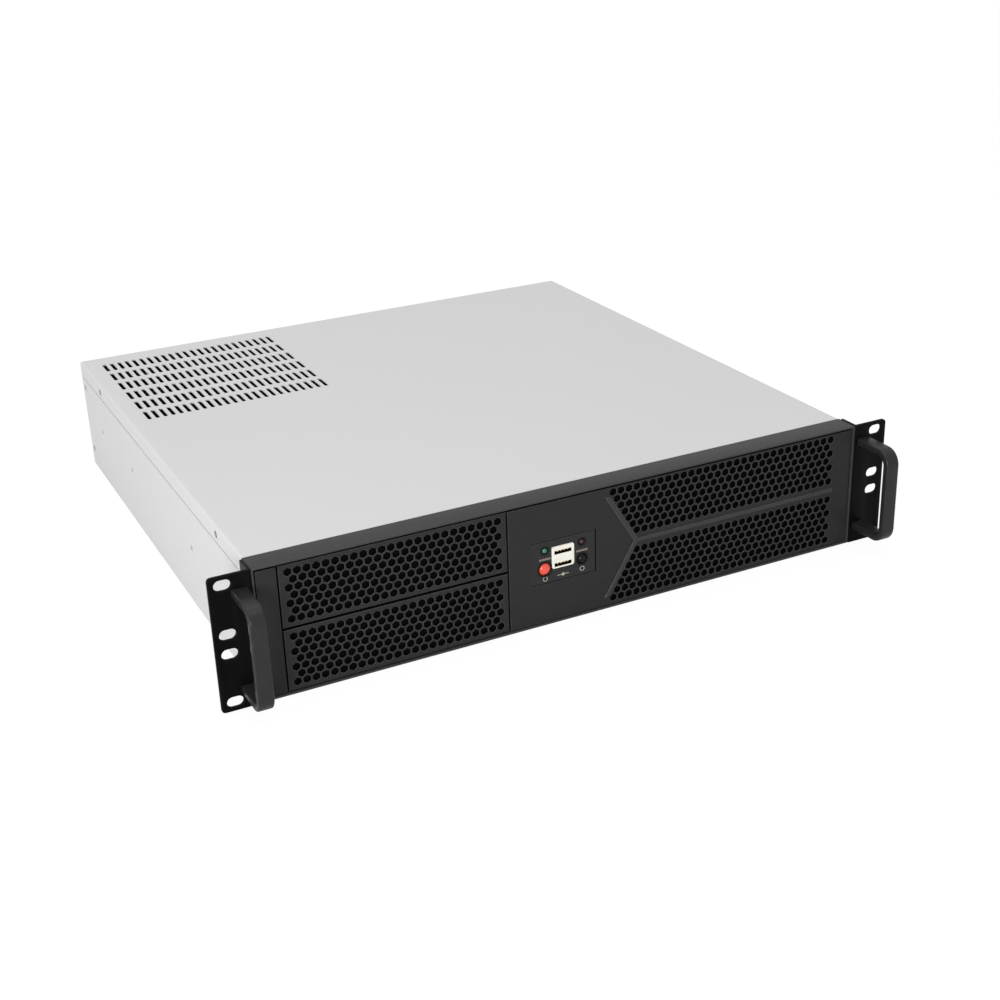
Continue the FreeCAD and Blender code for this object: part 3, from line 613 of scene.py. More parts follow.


# ---------------------------------------------------------------- finishes

# What a finish has unless it says otherwise; sizes of bump and of edge wear with its painted edge highlight
# are in millimetres.
PLAIN = {
    "scale": 1800.0, "drift": 0.10, "spread": 0.08, "speck": 0.0, "bump": 0.2, "bump_size": 0.02, "wear_and_highlight": 0.0,
    "wear_and_highlight_radius": 0.35, "specular": 0.5, "coat": 0.0, "metallic": 0.0,
}
FINISHES = {
    "body": dict(name="light_grey_coat", slot="body_grey", roughness=0.50, scale=1500.0, drift=0.02,
                 spread=0.05, bump=0.25, bump_size=0.03, specular=0.35),
    "lip": dict(name="black_box_coat", slot="black_steel", roughness=0.50, scale=1600.0, drift=0.22,
                speck=0.35, bump=0.35, bump_size=0.04, wear_and_highlight=1.2, specular=0.3),
    # The ears' darker coat is painted shade on the front box's own black coat.
    "steel": dict(name="black_ear_coat", slot="black_steel", roughness=0.42, scale=1600.0, drift=0.15,
                  speck=0.3, bump=0.35, bump_size=0.04, wear_and_highlight=9.0, specular=0.06),
    "moulding": dict(name="moulded_black", slot="black_plastic", roughness=0.44, scale=2200.0, speck=0.25,
                     bump=0.35, bump_size=0.03, wear_and_highlight=6.0, specular=0.14),
    # The bands' plastic is the moulding's own, made lighter: painted highlight.
    "rib": dict(name="moulded_band", slot="black_plastic", roughness=0.40, scale=2200.0, speck=0.25,
                bump=0.35, bump_size=0.03, wear_and_highlight=5.0, wear_and_highlight_radius=0.7, specular=0.25),
    # Painted shade: a near-black for walls and strips that sit in shade.
    "cell": dict(name="cell_wall", slot="black_plastic", roughness=0.60, scale=2200.0, bump_size=0.03,
                 specular=0.1),
    "handle": dict(name="satin_black_bar", slot="black_bar", roughness=0.30, scale=1400.0, drift=0.14,
                   speck=0.3, bump=0.30, bump_size=0.04, wear_and_highlight=3.0, wear_and_highlight_radius=0.8, specular=0.25),
    "plate": dict(name="control_black", slot="black_plastic", roughness=0.38, scale=2400.0, drift=0.08,
                  spread=0.06, speck=0.2, wear_and_highlight=2.5, specular=0.14),
    "mark": dict(name="printed_mark", slot="black_plastic", roughness=0.60, scale=3000.0, drift=0.35,
                 spread=0.05, bump=0.1, bump_size=0.01),
    "faded": dict(name="printed_bar", slot="black_plastic", roughness=0.60, scale=2400.0, drift=0.60,
                  spread=0.05, bump=0.1, bump_size=0.01),
    "power": dict(name="red_cap", slot="red_plastic", roughness=0.20, drift=0.05, spread=0.05, bump=0.1,
                  bump_size=0.01, coat=0.8),
    "dark": dict(name="smooth_black", slot="dark_plastic", roughness=0.30, wear_and_highlight=0.8, specular=0.2),
    "gloss": dict(name="glossy_black", slot="dark_plastic", roughness=0.14, spread=0.04, bump=0.05,
                  bump_size=0.01, specular=0.25),
    "green": dict(name="green_lens", slot="green_lens", roughness=0.10, scale=900.0, spread=0.03, bump=0.05,
                  bump_size=0.01, coat=0.6),
    "red": dict(name="red_lens", slot="red_lens", roughness=0.10, scale=900.0, spread=0.03, bump=0.05,
                bump_size=0.01, coat=0.6),
    "socket": dict(name="cream_socket", slot="socket_plastic", roughness=0.45, scale=1500.0, drift=0.04,
                   spread=0.05, bump=0.15),
    "contact": dict(name="gold_contact", slot="brass", roughness=0.28, scale=2500.0, drift=0.08, spread=0.06,
                    bump=0.1, bump_size=0.01, metallic=1.0),
    "brass": dict(name="turned_brass", slot="brass", roughness=0.30, metallic=1.0),
    "zinc": dict(name="zinc_plate", slot="plated_steel", roughness=0.42, scale=300.0, drift=0.16, spread=0.10,
                 bump=0.1, metallic=1.0),
    "board": dict(name="solder_mask", slot="board_green", roughness=0.40, scale=800.0, drift=0.15,
                  spread=0.06, speck=0.3, bump_size=0.03),
    "nickel": dict(name="nickel_screw", slot="plated_steel", roughness=0.32, scale=2200.0, drift=0.12,
                   metallic=1.0),
    # Real black foam of the filters, and painted shade for the strip in the lid's seam.
    "foam_and_seam_shade": dict(name="filter_foam", slot="dark_plastic", roughness=0.95, scale=1200.0, drift=0.30,
                 spread=0.04, bump=0.8, bump_size=0.2, specular=0.05),
}
BUILT = {}

# Nodes that keep their CAD shape, by finish.
KEPT_NODES = {
    "body": ("chassis_tray", "rear_panel", "card_shelf"),
    "zinc": ("card_covers", "bay_cage", "drive_bracket", "psu_bracket"),
    "dark": ("fan_frame", "fan_rotor"),
    "board": ("control_board",),
    "brass": ("board_standoffs",),
    "foam_and_seam_shade": ("dust_filters",),
}


def grain_group():
    """Fine surface texture: a colour that drifts a little, a roughness and a height."""
    maker = GroupMaker("Surface Grain", "ShaderNodeTree",
                       {"Color": ("Colour",), "Float": ("Scale", "Drift", "Roughness", "Spread", "Speck")},
                       {"Color": ("Colour",), "Float": ("Roughness", "Height")})
    given, times, calc = maker.given, maker.times, maker.calc
    broad_scale = 9.0
    fine_share = 0.45
    dust_share = 0.35
    dust_limit = 0.66
    fine = maker.noise(given["Scale"], 3.0)
    broad = maker.noise(broad_scale, 4.0)
    dust = maker.noise(times(given["Scale"], dust_share), 1.0)
    uneven = maker.minus(maker.plus(times(fine, fine_share), times(broad, 1.0 - fine_share)), 0.5)
    gain = calc("MULTIPLY_ADD", uneven, times(given["Drift"], 2.0), 1.0)
    specks = times(calc("GREATER_THAN", dust, dust_limit), given["Speck"])
    maker.feed(maker.result["Colour"], maker.scaled(given["Colour"], maker.plus(gain, specks)))
    rough = calc("MULTIPLY_ADD", uneven, times(given["Spread"], 2.0), given["Roughness"])
    maker.feed(maker.result["Roughness"], rough)
    maker.feed(maker.result["Height"], fine)


def wear_and_highlight_group():
    """Lighter edges, where a rounded normal turns away from the true one: patchy edge wear, and a painted
    highlight along the edges.
    """
    flat = 0.995
    full_edge = 0.88
    patch_scale = 160.0
    maker = GroupMaker("Edge Wear", "ShaderNodeTree", {"Color": ("Colour",), "Float": ("Amount", "Radius")},
                       {"Color": ("Colour",)})
    rounded = maker.put("ShaderNodeBevel", maker.given["Radius"], samples=4)
    normal = maker.source("ShaderNodeNewGeometry", "Normal")
    match = maker.put("ShaderNodeVectorMath", rounded, normal, operation="DOT_PRODUCT")
    edge = maker.put("ShaderNodeMapRange", match, flat, full_edge)
    patchy = maker.times(edge, maker.noise(patch_scale))
    gain = maker.calc("MULTIPLY_ADD", patchy, maker.given["Amount"], 1.0)
    maker.feed(maker.result["Colour"], maker.scaled(maker.given["Colour"], gain))


def surface(finish, base):
    """Material with grain, edge wear and painted edge highlight where the finish has it, and plain values on
    the shader itself.
    """
    look = {**PLAIN, **FINISHES[finish]}
    material = bpy.data.materials.new(look["name"])
    material.use_nodes = True
    maker = NodeMaker(material.node_tree)
    values = {label: look[label.lower()] for label in ("Scale", "Drift", "Roughness", "Spread", "Speck")}
    tint = maker.put("ShaderNodeGroup", node_tree=bpy.data.node_groups["Surface Grain"],
                     named={"Colour": (*base, 1.0), **values})
    grain = tint.node.outputs
    # Edges made lighter and patchy: partly wear, partly a painted highlight standing in for light caught on
    # the edges.
    if look["wear_and_highlight"]:
        tint = maker.put("ShaderNodeGroup", node_tree=bpy.data.node_groups["Edge Wear"], named={
            "Colour": tint, "Amount": look["wear_and_highlight"], "Radius": look["wear_and_highlight_radius"] * MM})
    relief = maker.put("ShaderNodeBump", named={
        "Strength": look["bump"], "Distance": look["bump_size"] * MM, "Height": grain["Height"]})
    inputs = material.node_tree.nodes["Principled BSDF"].inputs
    for label, value in (("Base Color", tint), ("Roughness", grain["Roughness"]), ("Normal", relief),
                         ("Specular IOR Level", look["specular"]), ("Coat Weight", look["coat"]),
                         ("Metallic", look["metallic"])):
        maker.feed(inputs[label], value)
    return material


class RACK_OT_finishes(bpy.types.Operator):
    """Make the materials and paint the nodes that keep their CAD shape"""

    bl_idname = "rack.finishes"
    bl_label = "Finishes"

    def execute(self, context):
        grain_group()
        wear_and_highlight_group()
        for finish in FINISHES:
            BUILT[finish] = surface(finish, getattr(context.scene.rack_colour, finish))
        for finish, names in KEPT_NODES.items():
            for name in names:
                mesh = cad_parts[name].data
                mesh.materials.clear()
                mesh.materials.append(BUILT[finish])
        return {"FINISHED"}


# ---------------------------------------------------------------- pieces


def lid_rim(bm, low, high, bend, sheet, steps=6):
    """Folded sides and the front and rear edges of the lid, open where the vented top goes."""

    def fold(x, radius):
        """Side view of a folded edge from its foot up, as (x, z)."""
        turns = [math.pi - QUARTER * i / steps for i in range(steps + 1)]
        centre_x, centre_z = low.x + bend, high.z - bend
        return [(x, low.z)] + [(centre_x + radius * math.cos(turn), centre_z + radius * math.sin(turn))
                               for turn in turns]

    outer = fold(low.x, bend)
    section = outer + fold(low.x + sheet, bend - sheet)[::-1]
    half = len(outer)
    total = len(section)
    for side in (1, -1):
        front, rear = [loop(bm, [(side * x, y, z) for x, z in section]) for y in (low.y, high.y)]
        for i in range(total):
            if i != half - 1:
                j = (i + 1) % total
                bm.faces.new((front[i], front[j], rear[j], rear[i]))
        for ring in (front, rear):
            for i in range(half - 1):
                bm.faces.new((ring[i], ring[i + 1], ring[total - 2 - i], ring[total - 1 - i]))
    left, right = low.x + bend, high.x - bend
    for y in (low.y, high.y):
        bm.faces.new(loop(bm, [(left, y, high.z - sheet), (right, y, high.z - sheet), (right, y, high.z),
                               (left, y, high.z)]))


class RACK_OT_lid(bpy.types.Operator):
    """Lid with folded edges and round-ended vent slots"""

    bl_idname = "rack.lid"
    bl_label = "Lid"

    def execute(self, context):
        lid = context.scene.rack_lid
        low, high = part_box("top_cover")
        bm = bmesh.new()
        lid_rim(bm, low, high, lid.bend, lid.sheet)
        run_tree("vented_lid", bm, vent_tree(), {
            "Low X": low.x + lid.bend, "High X": high.x - lid.bend, "Low Y": low.y, "High Y": high.y,
            "Top Z": high.z, "Thickness": lid.sheet, "First X": low.x + lid.first_x,
            "First Y": high.y - lid.first_y, "Columns": lid.columns, "Rows": lid.rows, "Pitch X": lid.pitch_x,
            "Pitch Y": lid.pitch_y, "Slot Width": lid.slot_width, "Slot Length": lid.slot_length,
        }, "body", ("top_cover",), smooth=30)
        self.seam(low, high, lid)
        return {"FINISHED"}

    def seam(self, low, high, lid):
        """Black strip of painted shade in the gap where the lid's folded sides end over the tray."""
        inset = 0.1 * MM
        top = low.z - 0.02 * MM
        bm = bmesh.new()
        for side in (-1, 1):
            x = sorted((side * (high.x - inset), side * (high.x - lid.sheet - inset)))
            block(bm, x, (low.y, high.y - inset), (top - lid.seam, top))
        piece("lid_seam_shade", bm, "foam_and_seam_shade")


def plate_rim(bm, area, y, thickness, edge):
    """Eased front edge and side walls of a flat plate."""
    rect_ring(bm, grown(area, -edge), y, area, y + edge)
    rect_ring(bm, area, y + edge, area, y + thickness)


def plate_values(grille, area, y, thickness):
    """What every honeycomb plate tells the tree."""
    return {
        "Low X": area[0], "High X": area[1], "Low Z": area[2], "High Z": area[3], "Front Y": y,
        "Thickness": thickness, "Edge": grille.edge, "Rows": grille.rows, "Pitch": grille.pitch,
        # The cell walls get the painted shade black.
        "Flats": grille.flats, "Ease": grille.ease, "Wall Material": BUILT["cell"],
    }


def darken_gaps(bm, front):
    """Give the walls behind front, which only show in the narrow gaps, the second material, a painted shade
    black.
    """
    outward(bm)
    bm.normal_update()
    for item in bm.faces:
        if abs(item.normal.y) < 0.5 and item.calc_center_median().y > front:
            item.material_index = 1


def pocket_walls(bm, pocket, y, control, thickness):
    """Pocket for the control plate with a window in its floor, painted shade black but for its lower wall,
    which keeps the moulding.
    """
    window = grown(pocket, -control.ledge)
    floor = y + control.depth
    flush = 0.01 * MM
    known = set(bm.faces)
    rect_ring(bm, pocket, y, pocket, floor)
    rect_ring(bm, pocket, floor, window, floor)
    rect_ring(bm, window, floor, window, y + thickness)
    for item in set(bm.faces) - known:
        if item.calc_center_median().z > pocket[2] + flush:
            item.material_index = 1


def gap_shade_strips(bm, gaps, z, back):
    """Painted shade: black strips behind the two upright gaps and behind the seam between the two bay covers.
    """
    half = 1.2 * MM
    clear = 0.2 * MM
    thick = 1.4 * MM
    y = (back + clear, back + clear + thick)
    known = set(bm.faces)
    for x in gaps:
        block(bm, (x - half, x + half), y, z)
    block(bm, (gaps[0] + half, gaps[1] - half), y, (-half, half))
    for item in set(bm.faces) - known:
        item.material_index = 1


def raised_band(bm, outline, y, height, ease):
    """Raised band with eased top edges on the moulding's face, from (x, z) points; its foot is sunk in."""
    sunk = height / 2
    foot = bm.faces.new(loop(bm, [(x, y + sunk, z) for x, z in outline]))
    raised = bmesh.ops.extrude_face_region(bm, geom=[foot])["geom"]
    verts = [item for item in raised if isinstance(item, bmesh.types.BMVert)]
    bmesh.ops.translate(bm, vec=(0.0, -height - sunk, 0.0), verts=verts)
    edges = [item for item in raised if isinstance(item, bmesh.types.BMEdge)]
    bmesh.ops.bevel(bm, geom=edges, offset=ease, segments=3, profile=0.5, affect="EDGES")


def chevron_outline(grille):
    """Points of the chevron with its middle rib, as (x, z), counter-clockwise from the upper end."""
    half = grille.middle_rib / 2
    start = grille.tip - grille.slope * grille.end
    fork = grille.tip - grille.slope * half + grille.rib
    upper = [(start, grille.end), (start + grille.rib, grille.end), (fork, half),
             (grille.right_column + grille.rib_run, half)]
    return upper + [(x, -z) for x, z in reversed(upper)] + [(grille.tip, 0.0)]


class RACK_OT_moulding(bpy.types.Operator):
    """Front moulding: post, plain middle, chevron, fine honeycomb and control pocket"""

    bl_idname = "rack.moulding"
    bl_label = "Front Moulding"

    def execute(self, context):
        grille = context.scene.rack_grille
        control = context.scene.rack_control
        low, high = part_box("front_fascia")
        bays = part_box("upper_bay_cover")
        face = low.y + grille.rib_height
        top = high.z - grille.top_gap
        left = bays[1].x + grille.gap
        area = (left, high.x, low.z, top)
        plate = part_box("control_plate")
        pocket = (plate[0].x - control.side_gap, plate[1].x + control.side_gap,
                  plate[0].z - control.lower_gap, plate[1].z + control.upper_gap)
        bm = bmesh.new()
        plate_rim(bm, area, face, grille.plate, grille.edge)
        self.rails(bm, area, (face + grille.plate, high.y), grille.rail)
        block(bm, (low.x, bays[0].x - grille.gap), (face, high.y), (low.z, top), grille.edge)
        darken_gaps(bm, face + grille.edge)
        gap_shade_strips(bm, (bays[0].x - grille.gap / 2, bays[1].x + grille.gap / 2), (low.z, top),
                   bays[0].y + grille.cover_plate)
        pocket_walls(bm, pocket, face, control, grille.plate)
        self.bands(grille, face)
        field_height = (grille.rows - 1) * grille.pitch * ROW_SHARE
        spare = 8
        run_tree("front_moulding", bm, honeycomb_tree(), {
            **plate_values(grille, area, face, grille.plate), "Right": grille.right_column,
            "Middle": grille.first_row + field_height / 2, "Left": grille.tip + grille.rib + grille.margin,
            "Lean": math.tan(math.radians(30.0)), "Mirror": True,
            "Columns": int((grille.right_column - grille.tip) / grille.pitch) + spare,
            "Pocket": True, "Pocket Low": (pocket[0], 0.0, pocket[2]),
            "Pocket High": (pocket[1], 0.0, pocket[3]), "Ledge": control.ledge,
        }, "moulding", ("front_fascia",), smooth=25)
        return {"FINISHED"}

    def rails(self, bm, area, y, rail):
        """Four rails behind the pierced plate's rim."""
        left, right, bottom, top = area
        for x in ((left, left + rail), (right - rail, right)):
            block(bm, x, y, (bottom, top))
        for z in ((top - rail, top), (bottom, bottom + rail)):
            block(bm, (left + rail, right - rail), y, z)

    def bands(self, grille, face):
        """Raised chevron with its middle rib, and a small stud at the chevron's lower end."""
        bm = bmesh.new()
        raised_band(bm, chevron_outline(grille), face, grille.rib_height, grille.rib_ease)
        stud_inset = 0.2 * MM
        stud_x = grille.tip - grille.slope * grille.end + stud_inset
        stud_z = -grille.end - grille.rib_ease
        sunk = 0.3 * MM
        washer(bm, (stud_x, 0.0, stud_z), 0.0, grille.stud, face - grille.rib_height, face + sunk,
               grille.rib_ease)
        # The bands' lighter finish is a painted highlight on the moulding's own plastic.
        piece("raised_bands", bm, "rib", smooth=50)


class RACK_OT_bay_covers(bpy.types.Operator):
    """Blanking plates of the two bays with fine honeycomb"""

    bl_idname = "rack.bay_covers"
    bl_label = "Bay Covers"

    def execute(self, context):
        grille = context.scene.rack_grille
        half_width = (grille.cover_columns - 1) * grille.pitch / 2
        reach = half_width + 0.3 * grille.pitch
        flange = 1.0 * MM
        inset = 2.0 * MM
        for node in ("upper_bay_cover", "lower_bay_cover"):
            low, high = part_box(node)
            middle_x = (low.x + high.x) / 2
            area = grown((low.x, high.x, low.z, high.z), -grille.seam)
            bm = bmesh.new()
            plate_rim(bm, area, low.y, grille.cover_plate, grille.edge)
            depth = (low.y + grille.cover_plate, high.y)
            for x in (low.x + inset, high.x - inset - flange):
                block(bm, (x, x + flange), depth, (low.z + inset, high.z - inset))
            darken_gaps(bm, low.y + grille.edge)
            run_tree(node.replace("_cover", "_honeycomb"), bm, bpy.data.node_groups["Honeycomb Plate"], {
                **plate_values(grille, area, low.y, grille.cover_plate), "Right": middle_x + half_width,
                "Middle": (low.z + high.z) / 2, "Left": middle_x - reach,
                "Columns": grille.cover_columns,
            }, "moulding", (node,), smooth=25)
        return {"FINISHED"}


def bar_section(half_width, half_height, edge, steps=5):
    """Rounded rectangle of the handle bar as (across, out) pairs."""
    points = []
    for corner, (sx, sy) in enumerate(((1, 1), (-1, 1), (-1, -1), (1, -1))):
        for i in range(steps + 1):
            turn = QUARTER * (corner + i / steps)
            points.append((sx * (half_width - edge) + edge * math.cos(turn),
                           sy * (half_height - edge) + edge * math.sin(turn)))
    return points


def handle_route(low, high, bar, bend, steps=14):
    """Middle line of the bent bar as (y, z, out_y, out_z), from the upper leg to the lower one."""
    radius = bend - bar / 2
    route = [(high.y, high.z - bar / 2, 0.0, 1.0)]
    for i in range(steps + 1):
        turn = QUARTER * (1 + i / steps)
        out_y, out_z = math.cos(turn), math.sin(turn)
        route.append((low.y + bend + radius * out_y, high.z - bend + radius * out_z, out_y, out_z))
    return route + [(y, low.z + high.z - z, out_y, -out_z) for y, z, out_y, out_z in reversed(route)]


class RACK_OT_handles(bpy.types.Operator):
    """Bent bar handles with rounded edges"""

    bl_idname = "rack.handles"
    bl_label = "Handles"

    def execute(self, context):
        handle = context.scene.rack_handle
        for node in ("left_handle", "right_handle"):
            low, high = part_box(node)
            middle = (low.x + high.x) / 2
            section = bar_section((high.x - low.x) / 2, handle.bar / 2, handle.edge)
            bm = bmesh.new()
            rings = []
            for y, z, out_y, out_z in handle_route(low, high, handle.bar, handle.bend):
                rings.append(loop(bm, [(middle + a, y + out_y * b, z + out_z * b) for a, b in section]))
            for first, second in zip(rings, rings[1:]):
                ring_faces(bm, first, second)
            bm.faces.new(rings[0])
            bm.faces.new(rings[-1][::-1])
            piece(node + "_bar", bm, "handle", (node,), smooth=40)
        return {"FINISHED"}


class RACK_OT_shell(bpy.types.Operator):
    """Ears and front box with eased edges"""

    bl_idname = "rack.shell"
    bl_label = "Shell"

    def execute(self, context):
        eased_copy("left_ear", "steel", SHEET_EASE)
        eased_copy("right_ear", "steel", SHEET_EASE)
        eased_copy("front_panel", "lip", SHEET_EASE)
        return {"FINISHED"}


def washer(bm, centre, inner, outer, y_front, y_back, ease):
    """Raised ring with an eased front, or a disc where inner is 0."""
    if inner:
        profile = [(inner, y_back), (inner, y_front + ease), (inner + ease, y_front)]
    else:
        profile = [(0.0, y_front)]
    profile += [(outer - ease, y_front), (outer - ease * 0.3, y_front + ease * 0.3), (outer, y_front + ease),
                (outer, y_back), (inner, y_back)]
    turned(bm, centre, profile, 40)


def lamp_dome(bm, low, high, steps=8):
    """Round-nosed lamp body."""
    radius = (high.x - low.x) / 2
    turns = [QUARTER * i / steps for i in range(steps + 1)]
    profile = [(radius * math.sin(turn), low.y + radius * (1 - math.cos(turn))) for turn in turns]
    turned(bm, (low + high) / 2, profile + [(radius, high.y), (0.0, high.y)], 32)


def crown(radius, front, rise, steps=8, reach=0.9):
    """(radius, y) pairs of a dome from its top outwards: a ball's cap out to reach, squashed to rise."""
    full = 1 - math.sqrt(1 - reach ** 2)
    pairs = []
    for i in range(steps + 1):
        share = i / steps
        drop = (1 - math.sqrt(1 - (reach * share) ** 2)) / full
        pairs.append((radius * share, front + rise * drop))
    return pairs


class RACK_OT_controls(bpy.types.Operator):
    """Buttons, lamps, sockets, rings and plain printed marks"""

    bl_idname = "rack.controls"
    bl_label = "Controls"

    def execute(self, context):
        control = context.scene.rack_control
        eased_copy("control_plate", "plate", PLASTIC_EASE)
        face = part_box("control_plate")[0].y
        self.buttons(control, face)
        self.lamps(control, face)
        self.marks(control, face)
        self.sockets(control)
        return {"FINISHED"}

    def buttons(self, control, face):
        """Crowned caps with a collar behind the plate, each in a dark ring that stands out."""
        collar_front = face + 1.5 * MM
        collar_back = face + 2.2 * MM
        shoulder = 0.05 * MM
        ring_gap = 0.3 * MM
        ring_rise = 0.35 * MM
        ring_ease = 0.15 * MM
        for node, finish in (("power_button", "power"), ("reset_button", "gloss")):
            low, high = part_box(node)
            centre = (low + high) / 2
            collar = (high.x - low.x) / 2
            radius = collar - control.cap_step
            profile = crown(radius, low.y, control.dome)
            profile += [(radius, collar_front - shoulder), (collar, collar_front), (collar, collar_back),
                        (control.stem, collar_back), (control.stem, high.y), (0.0, high.y)]
            bm = bmesh.new()
            turned(bm, centre, profile, 56)
            piece(node + "_cap", bm, finish, (node,), body=node, smooth=35)
            ring = bmesh.new()
            inner = radius + ring_gap
            washer(ring, centre, inner, inner + control.collar, face - ring_rise, face, ring_ease)
            piece(node + "_surround", ring, "dark", smooth=35)

    def lamps(self, control, face):
        """Round-nosed lenses in rings that stand out."""
        ring_gap = 0.05 * MM
        ring_rise = 0.3 * MM
        ring_ease = 0.12 * MM
        for node, finish in (("power_lamp", "green"), ("drive_lamp", "red")):
            low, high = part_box(node)
            bm = bmesh.new()
            lamp_dome(bm, low, high)
            piece(node + "_lens", bm, finish, (node,), smooth=40)
            inner = (high.x - low.x) / 2 + ring_gap
            ring = bmesh.new()
            washer(ring, (low + high) / 2, inner, control.ring, face - ring_rise, face, ring_ease)
            piece(node + "_ring", ring, "dark", smooth=35)

    def marks(self, control, face):
        """Plain bars and rings in place of words and signs."""
        film = 0.04 * MM
        ease = 0.01 * MM
        power_drop = 2.2 * MM
        reset_drop = 3.2 * MM
        port_drop = 5.4 * MM
        port_ring = (0.35 * MM, 1.1 * MM)
        y = (face - film, face)
        half_line = control.mark / 2
        half = control.bar_length / 2
        half_height = control.bar_height / 2
        bar_z = (control.bar_rise - half_height, control.bar_rise + half_height)
        sign = (control.sign - half_line, control.sign + half_line)
        bars = bmesh.new()
        signs = bmesh.new()
        for node, drop in (("power_button", power_drop), ("reset_button", reset_drop)):
            low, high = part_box(node)
            x = (low.x + high.x) / 2
            block(bars, (x - half, x + half), y, bar_z)
            washer(signs, (x, 0.0, low.z - drop), *sign, *y, ease)
        low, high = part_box("usb_sockets")
        x = (low.x + high.x) / 2
        z = low.z - port_drop
        block(signs, (x - half, x + half), y, (z - half_line, z + half_line))
        washer(signs, (x, 0.0, z), *port_ring, y[0] - ease, face, ease)
        piece("printed_bars", bars, "faded")
        piece("printed_signs", signs, "mark")

    def sockets(self, control):
        """Light frame with two ports: a broad tongue over a slit lined with painted shade black, and contacts
        under the tongue.
        """
        eased_copy("usb_sockets", "socket", PLASTIC_EASE)
        low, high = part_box("usb_sockets")
        middle = (low + high) / 2
        fit = 0.02 * MM
        skin = 0.06 * MM
        left = middle.x - control.port_width / 2 + fit
        right = middle.x + control.port_width / 2 - fit
        depth = (low.y + 0.5 * MM, high.y - 1.0 * MM)
        tongue_y = (low.y + 0.25 * MM, low.y + 3.0 * MM)
        contact_y = (low.y + 0.6 * MM, low.y + 6.0 * MM)
        contact_drop = 0.8 * MM
        tongue_ease = 0.12 * MM
        half = control.contact_width / 2
        tongues = bmesh.new()
        shade_liners = bmesh.new()
        contacts = bmesh.new()
        for side in (-1, 1):
            port = middle.z + side * control.port_pitch / 2
            floor = port - control.port_height / 2 + fit
            ceiling = floor + control.slit
            top = port + control.port_height / 2 - fit
            block(tongues, (left, right), tongue_y, (ceiling, top), tongue_ease)
            # The slit's black liners are painted shade.
            for z in ((floor, floor + skin), (ceiling - skin, ceiling)):
                block(shade_liners, (left, right), depth, z)
            for x in ((left, left + skin), (right - skin, right)):
                block(shade_liners, x, depth, (floor, ceiling))
            block(shade_liners, (left, right), (depth[1] - skin, depth[1]), (floor, ceiling))
            for i in range(4):
                x = middle.x + (i - 1.5) * control.contact_pitch
                block(contacts, (x - half, x + half), contact_y, (ceiling - contact_drop, ceiling - skin))
        piece("socket_tongues", tongues, "socket")
        piece("socket_shade_liners", shade_liners, "cell")
        piece("socket_contacts", contacts, "contact")


def heads(name, points, turn, radius, rise, finish="nickel"):
    """Screw heads at points, facing the way that turn sends +Z."""
    bm = bmesh.new()
    loop(bm, points)
    tree = bpy.data.node_groups.get("Screw Heads") or screw_tree()
    values = {"Radius": radius, "Rise": rise, "Depth": rise * 0.9, "Turn": turn}
    run_tree(name, bm, tree, values, finish, smooth=30)


class RACK_OT_screws(bpy.types.Operator):
    """Screws and rivets of the lid, sides, ears, handles, card covers and fan"""

    bl_idname = "rack.screws"
    bl_label = "Screws"

    def execute(self, context):
        screw = context.scene.rack_screw
        rearwards = (-QUARTER, 0.0, 0.0)
        for side, name in ((-1, "left"), (1, "right")):
            outwards = (0.0, side * QUARTER, 0.0)
            self.side_screws(screw, side, name, outwards)
            self.ear_screws(screw, side, name, outwards, rearwards)
        low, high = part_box("card_covers")
        pitch = (high.x - low.x - 2 * screw.card_side) / 3
        points = [(low.x + screw.card_side + i * pitch, high.y - screw.card_rear, high.z) for i in range(4)]
        heads("card_screws", points, (0.0, 0.0, 0.0), screw.pan, screw.pan_rise)
        low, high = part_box("fan_frame")
        corner = screw.fan_corner
        points = [(x, high.y, z) for x in (low.x + corner, high.x - corner)
                  for z in (low.z + corner, high.z - corner)]
        heads("fan_screws", points, rearwards, screw.pan, screw.pan_rise)
        return {"FINISHED"}

    def side_screws(self, screw, side, name, outwards):
        """Flush screws in the lid's flange and rivets by the rear wall."""
        low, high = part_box("top_cover")
        below_middle = 0.3 * MM
        rivet_z = (24.3 * MM, -27.7 * MM)
        wall = side * (high.x - screw.lid_rise)
        z = (low.z + high.z) / 2 - below_middle
        points = [(wall, y, z) for y in (low.y + screw.lid_front, high.y - screw.lid_rear)]
        heads(name + "_lid_screws", points, outwards, screw.head, screw.lid_rise)
        points = [(wall, high.y - screw.rivet_rear, z) for z in rivet_z]
        heads(name + "_rear_rivets", points, outwards, screw.rivet, screw.lid_rise)

    def ear_screws(self, screw, side, name, outwards, rearwards):
        """Pan heads behind the ear for the handle, and flush heads where the ear meets the front box."""
        low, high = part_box(name + "_handle")
        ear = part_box(name + "_ear")
        sheet = 2.0 * MM
        ends = (low.z + screw.handle_end, high.z - screw.handle_end)
        points = [((low.x + high.x) / 2, sheet, z) for z in ends]
        heads(name + "_handle_screws", points, rearwards, screw.head, screw.pan_rise)
        web = side * (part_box("front_panel")[1].x + sheet)
        points = [(web, ear[1].y - screw.ear_rear, z) for z in (-screw.ear_pitch, 0.0, screw.ear_pitch)]
        heads(name + "_ear_screws", points, outwards, screw.head, screw.rise, "dark")


# ---------------------------------------------------------------- studio

# Name, place and target in metres, width and depth in metres, share of the key power.
LAMPS = (
    ("over", (0.1, 0.1, 1.6), (0.0, 0.2, 0.0), (1.8, 1.8), 1.2),
    ("side", (-1.7, 0.2, 0.5), (0.0, 0.2, 0.0), (1.2, 1.0), 0.6),
    ("front", (-0.85, -0.95, 0.25), (-0.1, 0.0, 0.0), (0.35, 0.35), 1.0),
)
FLOOR_SIZE = 6.0
FLOOR_WHITE = (0.80, 0.80, 0.80, 1.0)
FLOOR_GLOW = 1.06
FLOOR_GLOW_SHARE = 0.88
VENT_SHADE_BLACK = (0.004, 0.004, 0.004, 1.0)


